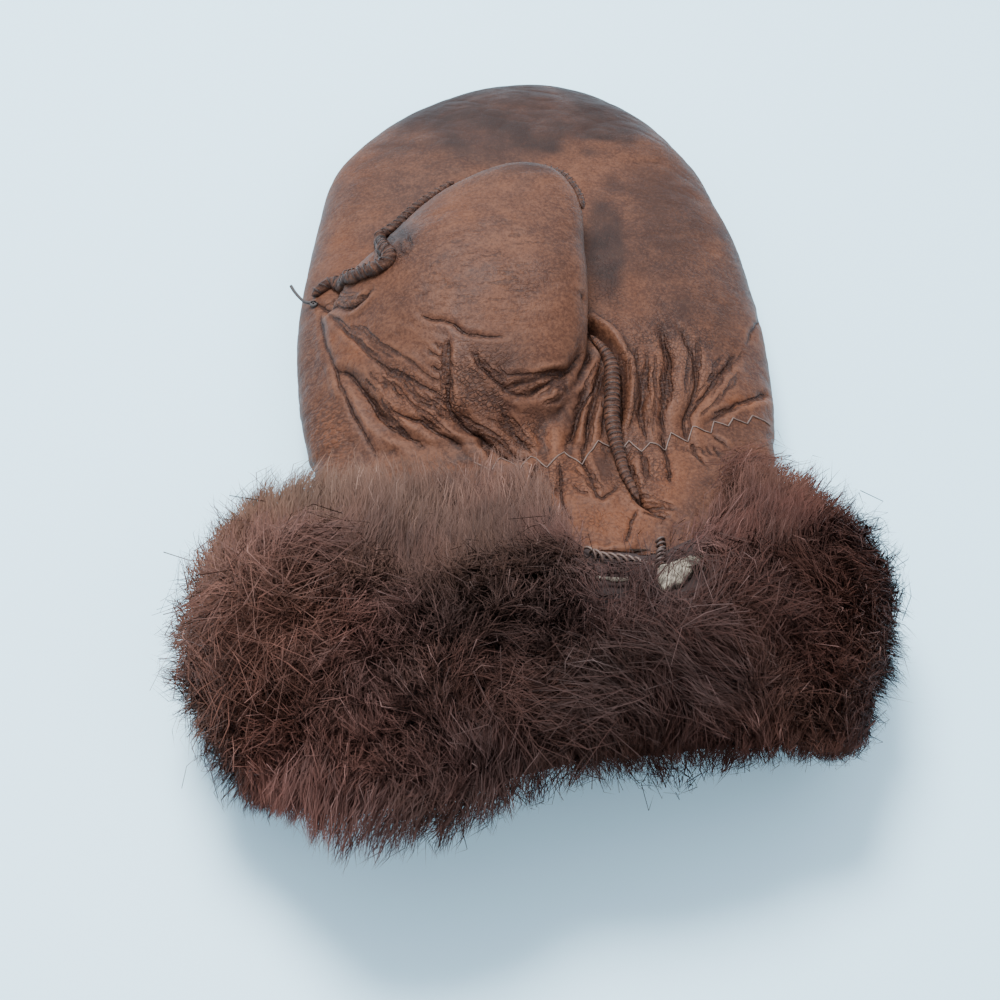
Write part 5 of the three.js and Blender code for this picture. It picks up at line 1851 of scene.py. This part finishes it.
def add_skin_edge(settings):
    """The bare edge of the fur strip: a ragged flap, and a thin line left of the wrist seam."""
    finish = Finish("bare_skin")
    tone = finish.noise(300, 6, 0.75)
    dark = tuple(channel * 0.3 for channel in settings.skin_colour[:3]) + (1,)
    base = finish.mix(finish.ramp(tone, 0.4, 0.62), dark, tuple(settings.skin_colour))
    finish.set(Base_Color=base)
    finish.set(Normal=finish.bump(finish.noise(700, 5, 0.7), 0.5), Roughness=0.9)
    patch = np.array(SKIN_PATCH, float)
    middle = patch.mean(axis=0)
    outline = smooth_path(np.concatenate([patch, patch[:1]]), 2.0)[:-1]
    outline += 1.6 * vector_noise(np.pad(outline, ((0, 0), (0, 1))), 4.0, 61, 2)
    rings = []
    for share, lift in FLAP_RINGS:
        ring = resting(middle + (outline - middle) * share, lift)[0]
        ring[:, 2] += 0.6 * noise(ring, 1.6, 63) * (lift > 0)
        rings.append(ring)
    flap = np.concatenate(rings + [rings[-1].mean(axis=0, keepdims=True)])
    sides = len(outline)
    quads = grid_quads(len(rings), sides)
    last = (len(rings) - 1) * sides + np.arange(sides)
    fan = np.stack([last, np.roll(last, -1), np.full(sides, len(flap) - 1)], axis=1)
    path = resting(smooth_path(np.array(SKIN_STRIP, float), 1.6), 1.5)[0]
    _, side, up = frames_along(path, np.tile([0.0, 0.0, 1.0], (len(path), 1)))
    turn = np.linspace(0, 2 * math.pi, STRIP_SIDES, endpoint=False)
    run = np.linspace(0, 1, len(path))
    size = STRIP_RADIUS * np.clip(np.minimum(run, 1 - run) * 8, 0.1, 1)
    size *= 1 + 0.3 * noise(path, 2.0, 65)
    tube = path[:, None] + side[:, None] * (size[:, None] * np.cos(turn))[..., None]
    tube = tube + up[:, None] * (size[:, None] * 0.8 * np.sin(turn))[..., None]
    strip = grid_quads(len(path), STRIP_SIDES)[:, ::-1] + len(flap)
    points = np.concatenate([flap, tube.reshape(-1, 3)])
    signed = np.cross(np.roll(outline, -1, axis=0) - middle, outline - middle).sum()
    if signed > 0:
        quads, fan = quads[:, ::-1], fan[:, ::-1]
    skin = mesh_object("skin_flap", points, [np.concatenate([quads, strip]), fan], finish.material)
    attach(skin, "root")
    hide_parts("skin_edge")


FLOOR_HALF = 3.0  # half the side of the floor in metres
SKY_COLOUR = (0.84, 0.905, 1.0, 1)
# Lamps: name, place and aim in metres, size, share of the lamp power, and colour
LAMPS = (
    ("overhead", (-0.2, 0.38, 1.0), (0, 0.02, 0), 0.5, 1.0, (0.96, 0.98, 1)),
    ("fill", (0.7, -0.9, 0.8), (0, 0, 0), 0.9, 0.25, (0.95, 0.97, 1)),
)


def add_stage(settings):
    """The floor, the sky, the two lamps and the camera."""
    floor = bpy.data.meshes.new("floor")
    corners = [(x * FLOOR_HALF, y * FLOOR_HALF, 0) for x, y in ((-1, -1), (1, -1), (1, 1), (-1, 1))]
    floor.from_pydata(corners, [], [(0, 1, 2, 3)])
    finish = Finish("pale_floor")
    finish.set(Base_Color=tuple(settings.floor_colour), Roughness=0.5)
    floor.materials.append(finish.material)
    ground = linked("floor", floor)

    world = bpy.context.scene.world or bpy.data.worlds.new("studio")
    bpy.context.scene.world = world
    world.use_nodes = True
    background = world.node_tree.nodes["Background"]
    background.inputs["Color"].default_value = SKY_COLOUR
    background.inputs["Strength"].default_value = settings.sky_strength

    for name, place, aim, size, share, color in LAMPS:
        light = bpy.data.lights.new(name, "AREA")
        light.shape = "DISK"
        light.size = size
        light.energy = settings.lamp_power * share
        light.color = color
        holder = linked(name, light)
        holder.location = place
        run = Vector(aim) - Vector(place)
        holder.rotation_euler = run.to_track_quat("-Z", "Y").to_euler()

    camera = bpy.data.cameras.new("camera")
    camera.sensor_fit = "HORIZONTAL"
    camera.angle = CAMERA_FOV
    camera.clip_start = 0.01
    holder = linked("camera", camera)
    away = Vector((0, -CAMERA_COSINE, CAMERA_SINE))
    holder.location = Vector(placed(CAMERA_TARGET)) + away * CAMERA_DISTANCE * MM
    holder.rotation_euler = (-away).to_track_quat("-Z", "Y").to_euler()
    bpy.context.scene.camera = holder


def color_of(label, description, value):
    """A colour setting."""
    return bpy.props.FloatVectorProperty(
        name=label,
        description=description,
        subtype="COLOR",
        size=4,
        min=0,
        max=1,
        default=(*value, 1),
    )


class MittenSettings(bpy.types.PropertyGroup):
    """Sizes and colours of the mitten."""

    crease_depth: bpy.props.FloatProperty(
        name="Crease depth", description="Scale of every crease", default=1.0, min=0, max=2
    )
    wrinkle_depth: bpy.props.FloatProperty(
        name="Wrinkle depth", description="Scale of the fine wrinkles", default=1.0, min=0, max=3
    )
    sky_strength: bpy.props.FloatProperty(
        name="Sky strength", description="Light from all round", default=1.45, min=0
    )
    lamp_power: bpy.props.FloatProperty(
        name="Lamp power", description="Power of the lamp overhead in watts", default=27.5, min=0
    )
    leather_colour: color_of("Leather", "Plain leather", (0.073, 0.0275, 0.0138))
    leather_shade: color_of("Leather shade", "Darker patches", (0.038, 0.0145, 0.0085))
    # colour of rubbed places, and also of the painted highlight on ridges
    leather_rubbed_and_highlight: color_of("Rubbed leather", "Raised, rubbed places", (0.130, 0.055, 0.030))
    leather_warm: color_of("Worn leather", "Orange leather at the wrist", (0.112, 0.036, 0.013))
    # blue-black dirt together with painted shade beside the thumb and in valleys
    leather_dirt_and_shade: color_of("Dirty leather", "Blue-black at the tips", (0.0095, 0.0058, 0.0056))
    # dirt together with painted shade in the creases and hollows
    crease_dirt_and_shade_colour: color_of("Creases", "Dirt in the creases", (0.011, 0.0045, 0.0035))
    seam_thread_colour: color_of("Seam thread", "Dark thread of the seams", (0.02, 0.011, 0.009))
    loose_thread_colour: color_of("Loose thread", "Grey thread end", (0.045, 0.038, 0.036))
    whip_thread_colour: color_of("Whipped thread", "Thread above the skin", (0.06, 0.034, 0.027))
    thread_colour: color_of("Pale thread", "Thread of the elastic", (0.115, 0.07, 0.054))
    skin_colour: color_of("Bare skin", "Bare edge of the fur strip", (0.30, 0.26, 0.2))
    lining_colour: color_of("Lining", "Inside of the leather", (0.24, 0.19, 0.15))
    fur_root_colour: color_of("Fur root", "Underfur and roots", (0.020, 0.009, 0.0075))
    fur_mid_colour: color_of("Fur", "Plain fur", (0.074, 0.0285, 0.025))
    fur_warm_colour: color_of("Warm fur", "Reddish fur", (0.100, 0.035, 0.024))
    fur_tip_colour: color_of("Frosted tips", "Pale tips of the fur", (0.102, 0.056, 0.037))
    hair_count: bpy.props.IntProperty(
        name="Hairs", description="Number of hairs drawn", default=245000, min=1000
    )
    hair_width: bpy.props.FloatProperty(
        name="Hair width", description="Width of a hair in mm", default=0.15, min=0.05, max=1
    )
    floor_colour: color_of("Floor", "Pale floor", (0.56, 0.85, 1.0))


class Building:
    """What the operators have in common: each runs its steps with the scene's settings."""

    steps = ()

    def execute(self, context):
        for step in self.steps:
            step(context.scene.mitten)
        return {"FINISHED"}


class LeatherPanels(Building, bpy.types.Operator):
    """Make the back, palm and thumb panels"""

    bl_idname = "mitten.leather_panels"
    bl_label = "Leather panels"
    steps = (add_leather_panels,)


class Lining(Building, bpy.types.Operator):
    """Make the inside of the leather"""

    bl_idname = "mitten.lining"
    bl_label = "Lining"
    steps = (add_lining,)


class Seams(Building, bpy.types.Operator):
    """Make the three overcast ridges and their stitches"""

    bl_idname = "mitten.seams"
    bl_label = "Overcast seams"
    steps = (add_seams,)


class Threads(Building, bpy.types.Operator):
    """Make the elastic's zigzag, the whip stitches and the loose thread"""

    bl_idname = "mitten.threads"
    bl_label = "Threads"
    steps = (add_threads,)


class SkinEdge(Building, bpy.types.Operator):
    """Make the bare edge of the fur strip"""

    bl_idname = "mitten.skin_edge"
    bl_label = "Skin edge"
    steps = (add_skin_edge,)


class FurCuff(Building, bpy.types.Operator):
    """Make the fur cuff: its underfur and its hairs"""

    bl_idname = "mitten.fur_cuff"
    bl_label = "Fur cuff"
    steps = (add_fur_backing, add_fur)


class Stage(Building, bpy.types.Operator):
    """Make the floor, the lights and the camera"""

    bl_idname = "mitten.stage"
    bl_label = "Stage"
    steps = (add_stage,)


OPERATORS = (LeatherPanels, Lining, Seams, Threads, SkinEdge, FurCuff, Stage)


class MittenPanel(bpy.types.Panel):
    """Lists the mitten's pieces in the sidebar"""

    bl_idname = "VIEW3D_PT_mitten"
    bl_label = "Mitten"
    bl_space_type = "VIEW_3D"
    bl_region_type = "UI"
    bl_category = "Mitten"

    def draw(self, context):
        for name in MittenSettings.__annotations__:
            self.layout.prop(context.scene.mitten, name)
        for operator in OPERATORS:
            self.layout.operator(operator.bl_idname)


CLASSES = (MittenSettings, *OPERATORS, MittenPanel)


def register():
    for made in CLASSES:
        bpy.utils.register_class(made)
    bpy.types.Scene.mitten = bpy.props.PointerProperty(type=MittenSettings)


def unregister():
    del bpy.types.Scene.mitten
    for made in reversed(CLASSES):
        bpy.utils.unregister_class(made)


def main():
    register()
    for operator in OPERATORS:
        family, name = operator.bl_idname.split(".")
        getattr(getattr(bpy.ops, family), name)()


if __name__ == "__main__":
    main()
